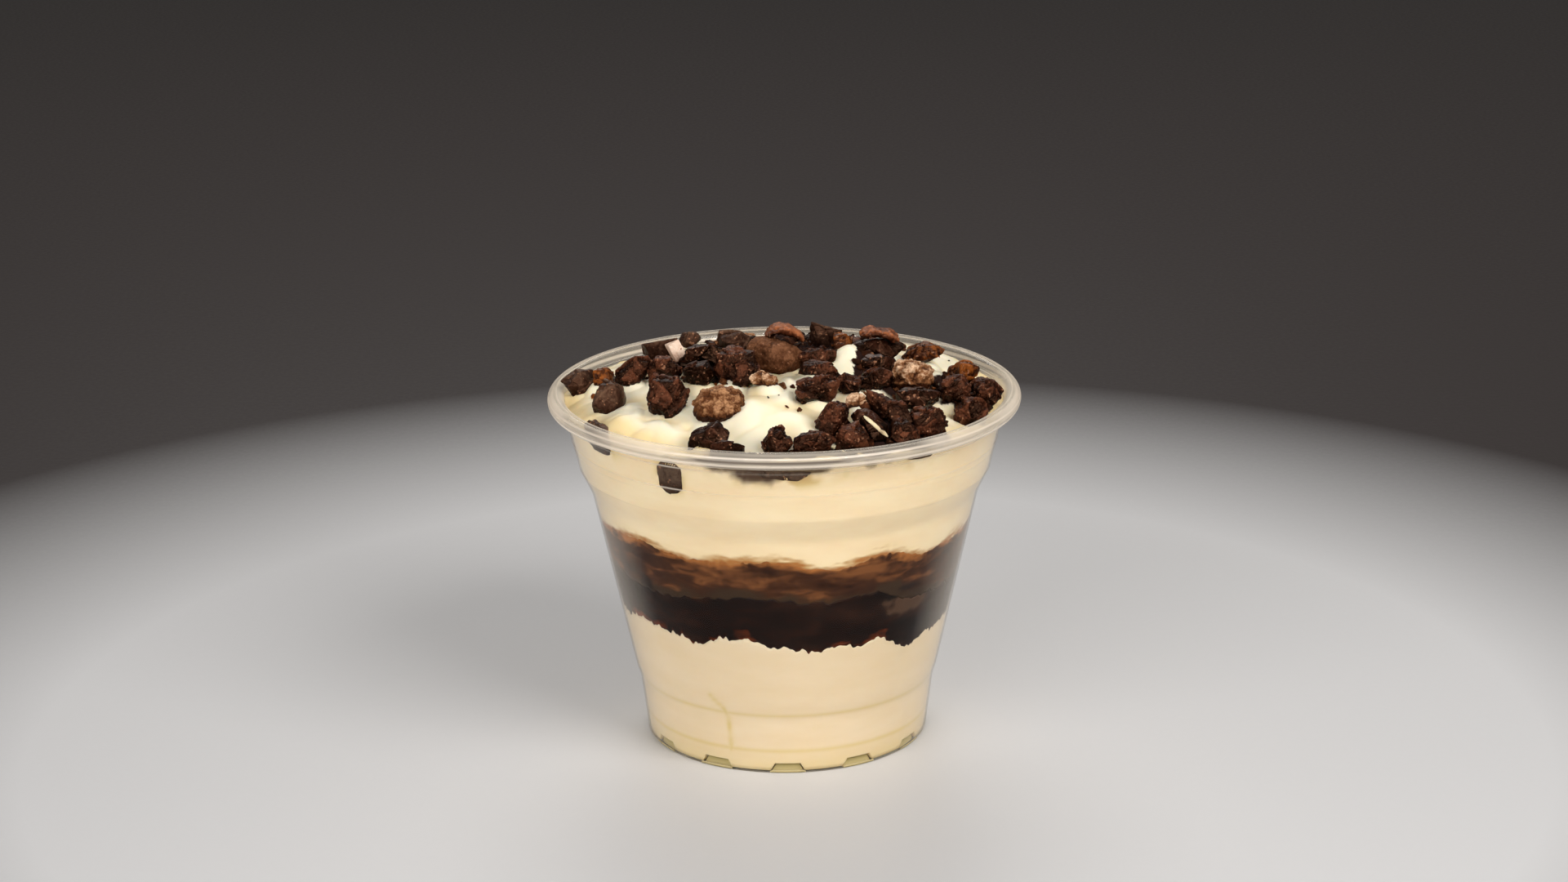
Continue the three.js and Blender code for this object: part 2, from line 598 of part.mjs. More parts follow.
const counts = {};
pieces.filter(({ sunk }) => !sunk).forEach((piece) => {
  const kind = piece.free ? piece.colour : 'pressed';
  counts[kind] = (counts[kind] ?? 0) + 1;
  const name = `${kind}_${String(counts[kind]).padStart(2, '0')}`;
  const settings = { color: COLOURS[piece.colour], roughness: 0.75, metalness: 0 };
  add(name, piece.geometry, settings).position.copy(piece.place);
});
CURLS.forEach((curl, number) => {
  const settings = { color: COLOURS.rust, roughness: 0.55, metalness: 0 };
  add(`curl_${number + 1}`, dropCurl(curl), settings);
});

export default tiramisu;
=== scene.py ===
# %% [markdown]
# # A tiramisu cup
# A clear dessert cup holds two creams, a dark and a brown sponge, and a heap of broken brownie,
# chocolate and biscuit. The CAD model gives every piece its place and its form. This lesson gives
# each one the surface and the finish of the real thing.
#
# The frame is loaded first, because every piece below is fitted to one of its nodes. All sizes
# are written in millimetres, as on a drawing, and are turned into metres where a mesh is made.

# %% Load the frame
import math
from collections import namedtuple
from functools import partial

import bmesh
import bpy
import numpy as np
from mathutils import Matrix, Vector


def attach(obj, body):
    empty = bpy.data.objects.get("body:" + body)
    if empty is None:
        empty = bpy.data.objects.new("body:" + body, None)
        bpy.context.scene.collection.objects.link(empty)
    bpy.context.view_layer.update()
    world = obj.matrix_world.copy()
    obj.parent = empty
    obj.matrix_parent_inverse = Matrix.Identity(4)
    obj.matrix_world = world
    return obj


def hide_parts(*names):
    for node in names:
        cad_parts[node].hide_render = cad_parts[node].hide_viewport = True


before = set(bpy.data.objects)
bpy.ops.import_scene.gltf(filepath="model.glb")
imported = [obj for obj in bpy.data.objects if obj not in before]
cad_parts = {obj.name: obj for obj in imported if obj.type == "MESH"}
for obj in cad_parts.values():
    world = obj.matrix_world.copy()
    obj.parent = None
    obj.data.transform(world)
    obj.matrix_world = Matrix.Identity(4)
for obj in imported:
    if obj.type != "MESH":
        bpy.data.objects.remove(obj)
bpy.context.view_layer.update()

MM = 0.001

# %% [markdown]
# ## The camera
# The picture was taken from in front and a little above, with a long lens. The lens is given as
# the width of film it fills, and the camera is turned by building its three axes directly: right,
# up and backwards. That is exact, where aiming with a constraint would leave out the slight roll.

# %% Camera
LENS = 75.0
FILM_WIDTH = 36.0
CAMERA_AT = (0.0, -0.65045, 0.26075)
PITCH, YAW, ROLL = (math.radians(angle) for angle in (16.968, -0.0125, -0.5514))


def camera_axes(pitch, yaw, roll):
    """Right, up and forward: forward is turned down by the pitch, then the others by the roll."""
    forward = Vector((math.sin(yaw) * math.cos(pitch), math.cos(yaw) * math.cos(pitch), -math.sin(pitch)))
    level = forward.cross(Vector((0, 0, 1))).normalized()
    upright = level.cross(forward)
    right = level * math.cos(roll) + upright * math.sin(roll)
    up = upright * math.cos(roll) - level * math.sin(roll)
    return right, up, forward


right, up, forward = camera_axes(PITCH, YAW, ROLL)
camera_data = bpy.data.cameras.new("camera")
camera_data.lens = LENS
camera_data.sensor_width = FILM_WIDTH
camera = bpy.data.objects.new("camera", camera_data)
camera.matrix_world = Matrix.Translation(CAMERA_AT) @ Matrix((right, up, -forward)).transposed().to_4x4()
bpy.context.scene.collection.objects.link(camera)
bpy.context.scene.camera = camera
print("Camera looks down by", round(math.degrees(PITCH), 2), "degrees")

# %% [markdown]
# ## Nodes by recipe
# Every finish below is a small tree of shader nodes. Clicking them together by hand is how one
# learns them, but a helper that adds a node and fills its sockets keeps a recipe down to a line
# for each node, which is easier to read and to change.

# %% A helper for shader nodes
def place_node(tree, kind, inputs=(), output=0, **settings):
    """Adds a node to a tree, sets its options, fills its sockets with values or with the outputs of
    other nodes, and returns its own output of that number or name."""
    made = tree.nodes.new("ShaderNode" + kind)
    for name, value in settings.items():
        setattr(made, name, value)
    for name, value in dict(inputs).items():
        if isinstance(value, bpy.types.NodeSocket):
            tree.links.new(value, made.inputs[name])
        else:
            made.inputs[name].default_value = value
    return made.outputs[output] if made.outputs else None


def arithmetic(tree, operation, *values):
    """What Blender's arithmetic of that name makes of some numbers or outputs."""
    return place_node(tree, "Math", enumerate(values), operation=operation)


def new_material(name):
    """An empty material and its node tree."""
    material = bpy.data.materials.new(name)
    material.use_nodes = True
    material.node_tree.nodes.clear()
    return material, material.node_tree


def finish_material(tree, shader):
    """Joins the last shader to the material's output."""
    place_node(tree, "OutputMaterial", {"Surface": shader})


print("A tree is filled by place_node, arithmetic and finish_material")

# %% Colours and noise
def rgb(red, green, blue):
    """A colour given as 0 to 255 on a screen, in the linear values that shaders count in."""
    screen = np.array([red, green, blue]) / 255
    linear = np.where(screen <= 0.04045, screen / 12.92, ((screen + 0.055) / 1.055) ** 2.4)
    return (*linear.tolist(), 1.0)


def noise(tree, size, detail=3.0, roughness=0.55, stretch=(1, 1, 1), distortion=0.0):
    """Noise over the piece whose patches are about that many millimetres, stretched along x, y, z."""
    spot = place_node(tree, "TexCoord", output="Object")
    spot = place_node(tree, "Mapping", {"Vector": spot, "Scale": [1 / s for s in stretch]})
    return place_node(tree, "TexNoise", {"Vector": spot, "Scale": 1 / (size * MM), "Detail": detail,
                                         "Roughness": roughness, "Distortion": distortion}, "Fac")


def ramp(tree, value, stops):
    """A colour for each value from 0 to 1, blended between the listed stops."""
    made = place_node(tree, "ValToRGB", {"Fac": value})
    elements = made.node.color_ramp.elements
    while len(elements) < len(stops):
        elements.new(0.5)
    for element, (position, colour) in zip(elements, stops):
        element.position = position
        element.color = colour
    return made


print("Half way up the screen's scale is", round(rgb(128, 128, 128)[0], 3), "of full light")

# %% Mixed, spread and stored values
def blend(tree, share, first, second):
    """The colour first where the share is 0, second where it is 1."""
    return place_node(tree, "Mix", {0: share, 6: first, 7: second}, 2, data_type="RGBA")


def between(tree, share, first, second):
    """The number first where the share is 0, second where it is 1."""
    return place_node(tree, "Mix", {0: share, 2: first, 3: second}, 0, data_type="FLOAT")


def spread(tree, value, low, high, to_low=0.0, to_high=1.0):
    """Stretches low..high to to_low..to_high, and holds the ends."""
    return place_node(tree, "MapRange", {
        "Value": value, "From Min": low, "From Max": high, "To Min": to_low, "To Max": to_high})


def stored(tree, name):
    """A number that the mesh stores at each of its points, and 0 where it stores none."""
    return place_node(tree, "Attribute", output="Fac", attribute_name=name)


def bumps(tree, height, depth, strength=1.0):
    """Shades the surface as if it stood proud by height times depth millimetres."""
    return place_node(tree, "Bump", {"Height": height, "Distance": depth * MM, "Strength": strength}, "Normal")


print("A stored value is read by", stored.__name__)

# %% [markdown]
# ## Floor and light
# A pale floor that darkens behind the cup puts the clear rim in front of something darker, which is what makes clear
# plastic show. One large soft lamp stands high on the right and a wider one fills from the left. A long thin lamp in
# front lights nothing by itself: it is there to be mirrored along the rim, where painted bright lines add to it, and as
# the small glints on moist chocolate, where painted light flecks add to them.

# %% Floor
FLOOR_HALF = 3.0
FLOOR_NEAR, FLOOR_FAR = 0.16, 0.27
PALE, DIM = rgb(208, 209, 212), rgb(46, 40, 40)

floor_material, tree = new_material("pale_floor")
spot = place_node(tree, "TexCoord", output="Object")
away = place_node(tree, "VectorMath", {0: spot}, "Value", operation="LENGTH")
fade = spread(tree, away, FLOOR_NEAR, FLOOR_FAR)
speckle = noise(tree, 1.5, detail=2)
finish_material(tree, place_node(tree, "BsdfPrincipled", {
    "Base Color": blend(tree, fade, PALE, DIM), "Roughness": spread(tree, speckle, 0.3, 0.7, 0.42, 0.5),
    "Specular IOR Level": 0.3}))

floor_mesh = bpy.data.meshes.new("floor")
corners = [(x * FLOOR_HALF, y * FLOOR_HALF, 0) for x, y in ((-1, -1), (1, -1), (1, 1), (-1, 1))]
floor_mesh.from_pydata(corners, [], [(0, 1, 2, 3)])
floor_mesh.materials.append(floor_material)
floor = bpy.data.objects.new("floor", floor_mesh)
bpy.context.scene.collection.objects.link(floor)
print("Floor is", 2 * FLOOR_HALF, "m wide")

# %% Lamps and the grey room
LAMPS = {
    "key_lamp": dict(at=(0.5, -0.5, 0.56), size=(0.5, 0.5), watts=6.2, colour=(1.0, 0.96, 0.91)),
    "fill_lamp": dict(at=(-0.52, -0.74, 0.3), size=(0.8, 0.8), watts=6.8, colour=(1.0, 0.97, 0.94)),
    "back_lamp": dict(at=(-0.05, 0.62, 0.66), size=(0.5, 0.5), watts=2.6, colour=(1.0, 0.97, 0.93)),
    "glint_lamp": dict(at=(0.0, -0.95, 0.78), size=(1.7, 0.05), watts=18.0, colour=(1.0, 0.93, 0.9)),
}
GLINTS_ONLY = ("glint_lamp",)
AIM = Vector((0, 0, 0.06))
ROOM_COLOUR = (0.166, 0.159, 0.15, 1)

for name, lamp in LAMPS.items():
    data = bpy.data.lights.new(name, "AREA")
    data.shape = "RECTANGLE"
    data.size, data.size_y = lamp["size"]
    data.energy = lamp["watts"]
    data.color = lamp["colour"]
    made = bpy.data.objects.new(name, data)
    made.location = lamp["at"]
    made.rotation_euler = (AIM - Vector(lamp["at"])).to_track_quat("-Z", "Y").to_euler()
    made.visible_diffuse = name not in GLINTS_ONLY
    bpy.context.scene.collection.objects.link(made)

room = bpy.data.worlds.new("grey_room")
room.use_nodes = True
room.node_tree.nodes["Background"].inputs["Color"].default_value = ROOM_COLOUR
bpy.context.scene.world = room
bpy.context.scene.view_settings.view_transform = "Standard"
print("Lamps:", ", ".join(LAMPS))

# %% [markdown]
# ## Noise for shapes
# Crumb and whipped cream are rough, and roughness that shows in the outline has to be in the mesh.
# Blender's own noise is made for one point at a time. Written with numpy, the same patterns
# work on a whole piece in one call: soft waves, grains that lie side by side like crumbs, and
# shards, which are the flat broken faces of chocolate.

# %% Shares, bells and unit lengths
def held(value):
    """The value, held between 0 and 1."""
    return np.clip(value, 0, 1)


def bell(away, width):
    """1 in the middle and near 0 from two widths on: e to the power of minus (away / width) squared."""
    return np.exp(-((away / width) ** 2))


def unit(ways):
    """The same ways, each with length 1."""
    return ways / np.linalg.norm(ways, axis=-1, keepdims=True)


print("A bell is", bell(1.0, 1.0).round(2), "one width out")

# %% Waves
AXIS_FACTORS = (0x8DA6B343, 0xD8163841, 0xCB1AB31F)
SEED_FACTOR = 0x9E3779B1
STIRS = ((15, 0x2C1B3C6D), (12, 0x297A2D39))


def scrambled(cells, seed):
    """A number from 0 to 1 for each whole-numbered cell: its indices are multiplied by large odd
    numbers, folded together and stirred, so that neighbours have nothing in common."""
    mixed = np.uint32(seed * SEED_FACTOR & 0xFFFFFFFF)
    for axis, factor in enumerate(AXIS_FACTORS):
        mixed = mixed ^ cells[..., axis].astype(np.uint32) * np.uint32(factor)
    for shift, factor in STIRS:
        mixed = (mixed ^ mixed >> np.uint32(shift)) * np.uint32(factor)
    return (mixed ^ mixed >> np.uint32(15)) / 2.0**32


def waves(points, size, seed):
    """Smooth noise from -1 to 1: a random value at each corner of cubes of that size, blended
    inside the cube by the eased share s * s * (3 - 2 * s) along each axis."""
    scaled = points / size
    base = np.floor(scaled).astype(np.int64)
    share = scaled - base
    ease = share * share * (3 - 2 * share)
    total = 0.0
    for corner in np.ndindex(2, 2, 2):
        weight = np.prod(np.where(corner, ease, 1 - ease), axis=-1)
        total = total + weight * scrambled(base + np.array(corner), seed)
    return 2 * total - 1


sample = np.linspace(0, 20, 3000).reshape(-1, 3)
print("Waves run from", waves(sample, 2, 1).min().round(2), "to", waves(sample, 2, 1).max().round(2))

# %% Grains and shards
OUT_OF_REACH = 9.0
CREASE_WIDTH = 0.2


def centres_near(points, size, seed):
    """One centre is strewn in each cube of that size. For each of the 27 cubes round every point, this
    gives the cube, the centre's place in it, and the way from the centre to the point, in cubes."""
    scaled = points / size
    base = np.floor(scaled).astype(np.int64)
    for step in np.ndindex(3, 3, 3):
        cell = base + np.array(step) - 1
        strewn = np.stack([scrambled(cell, seed + axis) for axis in range(3)], axis=-1)
        yield cell, strewn, scaled - cell - strewn


def grains(points, size, seed):
    """How high each point lies on rounded grains: 1 at a strewn centre, falling to 0 half a cube away
    and below 0 beyond."""
    nearest = OUT_OF_REACH
    for _, _, way in centres_near(points, size, seed):
        nearest = np.minimum(nearest, np.linalg.norm(way, axis=-1))
    return 1 - 2 * nearest


def shards(points, size, seed):
    """Broken faces and the creases between them. Every point belongs to the nearest strewn centre. A
    shard's height is a random level from -1 to 1 plus its own slope times the way from its centre,
    and the crease goes from 0 to 1 where two shards meet."""
    nearest = second = height = np.full(points.shape[:-1], OUT_OF_REACH)
    for cell, strewn, way in centres_near(points, size, seed):
        away = np.linalg.norm(way, axis=-1)
        slope = 3 * np.roll(strewn, 1, axis=-1) - 1.5
        closer = away < nearest
        second = np.where(closer, nearest, np.minimum(second, away))
        height = np.where(closer, 2 * scrambled(cell, seed + 3) - 1 + (way * slope).sum(axis=-1), height)
        nearest = np.minimum(nearest, away)
    return height, held(1 - (second - nearest) / CREASE_WIDTH)


print("Grains rise to", grains(sample, 2, 1).max().round(2))

# %% The CAD model's random numbers
STREAM_FACTOR, STREAM_LIMIT = 16807, 2**31 - 1


def number_stream(seed):
    """Repeatable numbers from 0 to 1, by the same rule that the CAD model draws them with."""
    state = seed
    while True:
        state = state * STREAM_FACTOR % STREAM_LIMIT
        yield state / STREAM_LIMIT


stream = number_stream(1)
print("Two numbers from the stream:", round(next(stream), 4), round(next(stream), 4))

# %% [markdown]
# ## From grids to meshes
# A turned thing is a grid of points: rows run along its outline and columns run round it. The
# first and the last row shrink to one point each, so the skin is closed at both ends. A broken
# lump is better served by a ball whose faces are even all over, made from the six sides of a cube.

# %% Skins
def closed_skin(grid):
    """Points and faces over a grid [row, column]. Columns run round anticlockwise from above, rows
    from the lower pole up the outside to the upper pole, and each pole is a single point."""
    rows, columns = grid.shape[:2]
    points = np.concatenate([grid[0, :1], grid[1:-1].reshape(-1, 3), grid[-1, :1]])
    ring = 1 + np.arange((rows - 2) * columns).reshape(rows - 2, columns)
    beside = np.roll(ring, -1, axis=1)
    quads = np.stack([ring[:-1], beside[:-1], beside[1:], ring[1:]], axis=-1).reshape(-1, 4)
    lower = np.stack([np.zeros_like(ring[0]), beside[0], ring[0]], axis=-1)
    upper = np.stack([np.full_like(ring[0], len(points) - 1), ring[-1], beside[-1]], axis=-1)
    return points, quads.tolist() + lower.tolist() + upper.tolist()


def per_point(values):
    """Values on the same grid, in the order of closed_skin's points."""
    return np.concatenate([values[0, :1], values[1:-1].ravel(), values[-1, :1]])


print("A skin over 4 x 5 points has", len(closed_skin(np.zeros((4, 5, 3)))[1]), "faces")

# %% Balls
KEY_BASE = 1000


def ball(cells):
    """Directions and quads of an even ball: each side of a cube is a grid of that many cells, bent
    by the tangent so that the cells come out alike, and pushed on to the ball."""
    side = np.arange(cells + 1)
    across, along = np.meshgrid(side, side, indexing="ij")
    corners = []
    for axis in range(3):
        for end in (0, cells):
            lattice = np.empty((cells + 1, cells + 1, 3), int)
            lattice[..., axis] = end
            first, second = (axis + 1) % 3, (axis + 2) % 3
            lattice[..., first], lattice[..., second] = (across, along) if end else (along, across)
            corners.append(np.stack([lattice[:-1, :-1], lattice[1:, :-1], lattice[1:, 1:], lattice[:-1, 1:]],
                                    axis=2).reshape(-1, 4, 3))
    corners = np.concatenate(corners)
    keys, quads = np.unique(corners.reshape(-1, 3) @ KEY_BASE ** np.arange(3), return_inverse=True)
    lattice = np.stack([keys % KEY_BASE, keys // KEY_BASE % KEY_BASE, keys // KEY_BASE**2], axis=-1)
    ways = np.tan((lattice / cells * 2 - 1) * math.pi / 4)
    return unit(ways), quads.reshape(-1, 4)


CRUDE, PLAIN, FINE = 3, 26, 32
BALLS = {cells: ball(cells) for cells in (CRUDE, PLAIN, FINE)}
print("The finest ball has", len(BALLS[FINE][1]), "faces")

# %% Adding a piece
def add_piece(name, points, faces, material, slot, nodes=(), stored_values=None):
    """A smooth mesh object from points in millimetres. It rides on the body, takes that material as its finish, stands
    for those CAD nodes, and keeps each stored value at its points. The slot is not used."""
    mesh = bpy.data.meshes.new(name)
    mesh.from_pydata(points * MM, [], faces)
    mesh.shade_smooth()
    mesh.materials.append(material)
    for value_name, values in (stored_values or {}).items():
        layer = mesh.attributes.new(value_name, "FLOAT", "POINT")
        layer.data.foreach_set("value", np.asarray(values, np.float32))
    piece = bpy.data.objects.new(name, mesh)
    bpy.context.scene.collection.objects.link(piece)
    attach(piece, "root")
    if nodes:
        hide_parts(*nodes)
    return piece


print("The frame has", len(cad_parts), "nodes to replace")

# %% [markdown]
# ## The wall of the cup
# The cup is drawn from thin clear sheet. Its wall has a foot, a step, a long taper, a shoulder and a
# collar, and faint rings pressed into it. Twelve recesses are pushed up into the foot from below,
# and the food stands back behind them. It lies right against the wall everywhere else, so the
# wall is written once, as a function, and both the cup and the food use it.

# %% Sizes of the cup
RIM_HEIGHT = 74.3
RIM_RADIUS = 49.0
WALL = 0.55
CUP_FLOOR = 0.6
BEAD_RADIUS = 1.75
WALL_OUTLINE = [(0, 29.5), (12.2, 31.0), (15, 31.9), (53.5, 40.4), (58.5, 42.8), (69, 45.3)]
COLLAR_TOP = 70.2
FOOT_EDGE = 0.5
NOTCHES = 12
NOTCH_TURN = 360 / NOTCHES
NOTCH_NODES = 6
NOTCH_HEIGHT = 1.95
NOTCH_DEPTH = 2.4
NOTCH_FRONT = 1.0
NOTCH_HALF_BOTTOM = 6.6
NOTCH_HALF_TOP = 4.6
NOTCH_SIDE = 0.8
NOTCH_CEILING = 0.15
UNEVEN_BELOW, EVEN_ABOVE = NOTCH_HEIGHT + 1, 12.2
RINGS = [(69.6, 0.2, 0.22), (64.7, 0.08, 0.22), (63.2, 0.05, 0.25), (58.6, 0.07, 0.32), (13.1, 0.01, 0.32),
         (4.95, 0.01, 0.32)]
CORNER_ROUNDING = 0.7
print("Recesses in the foot:", NOTCHES)

# %% The wall's outline
def wall_radius(height):
    """Outer radius of the wall: the outline, averaged over a short stretch so that its corners
    are round, plus a bell-shaped ridge at each ring."""
    heights, radii = np.array(WALL_OUTLINE).T
    slope = (radii[-1] - radii[-2]) / (heights[-1] - heights[-2])
    total = 0.0
    for shift in np.linspace(-CORNER_ROUNDING, CORNER_ROUNDING, 7):
        at = np.maximum(height + shift, 0)
        total = total + np.interp(at, heights, radii) + np.maximum(at - heights[-1], 0) * slope
    radius = total / 7
    for middle, rise, width in RINGS:
        radius = radius + rise * bell(height - middle, width)
    return radius


print("Wall at the foot, the step and the collar:", wall_radius(np.array([1.0, 15.0, 68.0])).round(2))

# %% Rings on the wall and in the recesses
def column_degrees(columns, height, inset):
    """Where each column stands, from the front towards +x, and its share of a recess. Six nodes a
    recess follow its sides near the foot and are spread evenly further up."""
    turn, within = np.divmod(np.arange(columns) * NOTCH_NODES * NOTCHES / columns, NOTCH_NODES)
    low = NOTCH_HALF_BOTTOM + (NOTCH_HALF_TOP - NOTCH_HALF_BOTTOM) * held(height / NOTCH_HEIGHT)
    low = low + math.degrees(inset / WALL_OUTLINE[0][1])
    side = low + NOTCH_SIDE
    nodes = range(NOTCH_NODES + 1)
    near = np.interp(within, nodes, [
        0, low, side, NOTCH_TURN / 2, NOTCH_TURN - side, NOTCH_TURN - low, NOTCH_TURN])
    even = within * NOTCH_TURN / NOTCH_NODES
    share = held((height - UNEVEN_BELOW) / (EVEN_ABOVE - UNEVEN_BELOW))
    recess = np.interp(within, nodes, [1, 1, 0, 0, 0, 1, 1])
    return turn * NOTCH_TURN + near + (even - near) * share, recess * recess * (3 - 2 * recess)


def turns(columns):
    """Even turns from the front, in degrees, one for each column."""
    return np.arange(columns) * 360 / columns


def on_circle(degrees, radius, height):
    """Points at that turn from the front, that far out and that high."""
    angle = np.radians(degrees)
    return np.stack(np.broadcast_arrays(radius * np.sin(angle), -radius * np.cos(angle), height), axis=-1)


def wall_row(columns, height, inset, recessed=True, shrink=0.0, widen=None):
    """One ring of points on the wall, moved inwards by the inset and by shrink, and by the depth of
    the recesses where it stands back behind them. There it gives way sideways and upwards by the
    inset too, or by widen."""
    widen = inset if widen is None else widen
    degrees, recess = column_degrees(columns, height, widen)
    depth = NOTCH_DEPTH * recess if recessed and height <= NOTCH_HEIGHT + widen + 1e-6 else 0.0
    return on_circle(degrees, wall_radius(height) - inset - depth - shrink, height)


def recess_row(columns, radius, share):
    """One ring of the underside, lifted by that share of the height of the recesses."""
    lift = NOTCH_HEIGHT * share
    degrees, recess = column_degrees(columns, lift, 0.0)
    return on_circle(degrees, radius, lift * recess)


def wall_heights(low, high, step, ring_steps):
    """Heights from low to high: even steps, with more rows where a ring or a recess needs them."""
    rings = [middle + shift for middle, _, _ in RINGS for shift in ring_steps]
    corners = [NOTCH_HEIGHT, NOTCH_HEIGHT + NOTCH_CEILING, NOTCH_HEIGHT + WALL, NOTCH_HEIGHT + WALL + NOTCH_CEILING]
    heights = np.unique(np.concatenate([np.arange(low, high, step), rings, corners, [high]]))
    return heights[(heights >= low) & (heights <= high)]


print("A recess takes up", (column_degrees(360, 0.0, 0.0)[1] > 0.5).sum() // NOTCHES, "of 30 columns")

# %% [markdown]
# ## The clear cup
# The rim of such a cup is the same thin sheet rolled outwards into a bead. A solid ring would
# look like a lens, so the sheet is followed round: up the outside of the wall, round the
# inside of the curl to its free edge, back over the outside of the curl, and down into the cup.

# %% Rings of the cup
CUP_COLUMNS = 360
UNDERSIDE_RADII, FLOOR_RADII = (0, 8, 16, 23), (25, 16, 8, 0)
RECESS_LIFTS = (0, 0.1, 0.4, 0.7, 0.92)
CEILING_SHARES = (0.06, 0.3, 0.7, 0.94)
RECESS_MILK, STRIP_MILK = 0.85, 0.75
STRIP_TOP = 0.62
WALL_STEP = 1.3
RING_STEPS = (-0.75, -0.5, -0.35, -0.22, -0.11, 0, 0.11, 0.22, 0.35, 0.5, 0.75)
CURL_END, CURL_START = -140, 180
# Two short painted highlights on the wall, in place of the lamp's mirror image above and below a pressed piece.
WALL_GLINTS, GLINT_WIDTH = (69.25, 64.35), 0.16
GLINT_TURN, GLINT_SPAN = -31, 7

print("Columns round the cup:", CUP_COLUMNS)

# %% The rolled bead and its lines
# Painted highlight and painted shade on the bead, in place of the bright and dark lines that its curl bends light into.
# Round the bead's section: angle, share of white and share of dark. 0 degrees faces outwards, 90 up.
BEAD_LINES = [
    (-55, 0, 0.4), (-46, 0.1, 0.3), (-38, 0.6, 0), (-32, 1, 0), (-18, 1, 0), (-12, 0.3, 0.3), (-6, 0, 0.8),
    (8, 0, 0.85), (15, 0.2, 0.5), (22, 0.9, 0), (31, 0.9, 0), (38, 0.35, 0.2), (46, 0.2, 0.35),
    (60, 0.15, 0.4), (72, 0.15, 0.3), (80, 0.3, 0.1), (88, 0.3, 0), (98, 0, 0)]
# Round the rim: turn from the front, least share of painted white, and how much of the painted dark lines shows. The
# bead is clearest where dark pieces lie behind it.
BEAD_ROUND = [
    (-180, 0.3, 0.3), (-120, 0.3, 0.3), (-76, 0.75, 0.2), (-68, 0.7, 0.3), (-64, 0.35, 0.7),
    (-53, 0.35, 0.7), (-46, 0.65, 0.25), (-30, 0.75, 0.2), (-20, 0, 1), (12, 0, 1), (18, 0.2, 0.7),
    (31, 0.25, 0.6), (38, 0.7, 0.2), (52, 0.65, 0.3), (58, 0.4, 0.5), (64, 0.65, 0.3), (75, 0.75, 0.2),
    (120, 0.3, 0.3), (180, 0.3, 0.3)]
# Two painted lines of shade along a milky bead: angle, width and share of dark.
BEAD_SHADE_LINES = [(80, 7, 1), (-8, 8, 0.4)]


def bead_row(degrees, radius):
    """One ring of the rolled bead, at an angle round its section: 0 points outwards, 90 up."""
    angle = math.radians(degrees)
    return on_circle(turns(CUP_COLUMNS), RIM_RADIUS - BEAD_RADIUS + radius * math.cos(angle),
                     RIM_HEIGHT - BEAD_RADIUS + radius * math.sin(angle))


print("Bright and dark lines are listed at", len(BEAD_LINES), "angles")

# %% The foot
def foot_rings():
    """Rings from the middle of the underside to the wall, with their shares: up into the recesses and down again, which
    are coloured olive as painted shade, most of all deep inside, and round the edge of the foot."""
    turn = turns(CUP_COLUMNS)
    edge_turn, recess = column_degrees(CUP_COLUMNS, 0.0, 0.0)
    foot = WALL_OUTLINE[0][1]
    back, front = foot - NOTCH_DEPTH, foot - NOTCH_FRONT
    strip = STRIP_MILK * np.minimum(1, 3 * recess)
    for radius in UNDERSIDE_RADII:
        yield on_circle(turn, radius, 0.0), {}
    for share in RECESS_LIFTS:
        yield recess_row(CUP_COLUMNS, back, share), dict(
            milk=RECESS_MILK, olive=0.15 + 0.85 * (share * recess) ** 2)
    for share in CEILING_SHARES:
        yield recess_row(CUP_COLUMNS, back + (front - back) * share, 1), dict(
            milk=RECESS_MILK, olive=0.1 + 0.9 * recess**3)
    for share in RECESS_LIFTS[::-1]:
        yield recess_row(CUP_COLUMNS, front, share), dict(
            milk=RECESS_MILK * np.minimum(1, 6 * recess), olive=0.1 + 0.9 * (share * recess) ** 2)
    for share in (0, 0.25, 0.5, 0.75, 1):
        angle = share * math.pi / 2
        line = max(0.0, 1 - share / 0.5)
        out, lift = FOOT_EDGE * (1 - math.sin(angle)), FOOT_EDGE * (1 - math.cos(angle))
        yield on_circle(edge_turn, foot - out, lift), dict(
            milk=np.maximum(0.85 * line, strip), olive=np.maximum(0.2 + 0.8 * line, recess * (1 - share**2)))
    yield wall_row(CUP_COLUMNS, STRIP_TOP, 0, recessed=False), dict(milk=strip, olive=0.2)


print("The foot takes", len(list(foot_rings())), "rings")

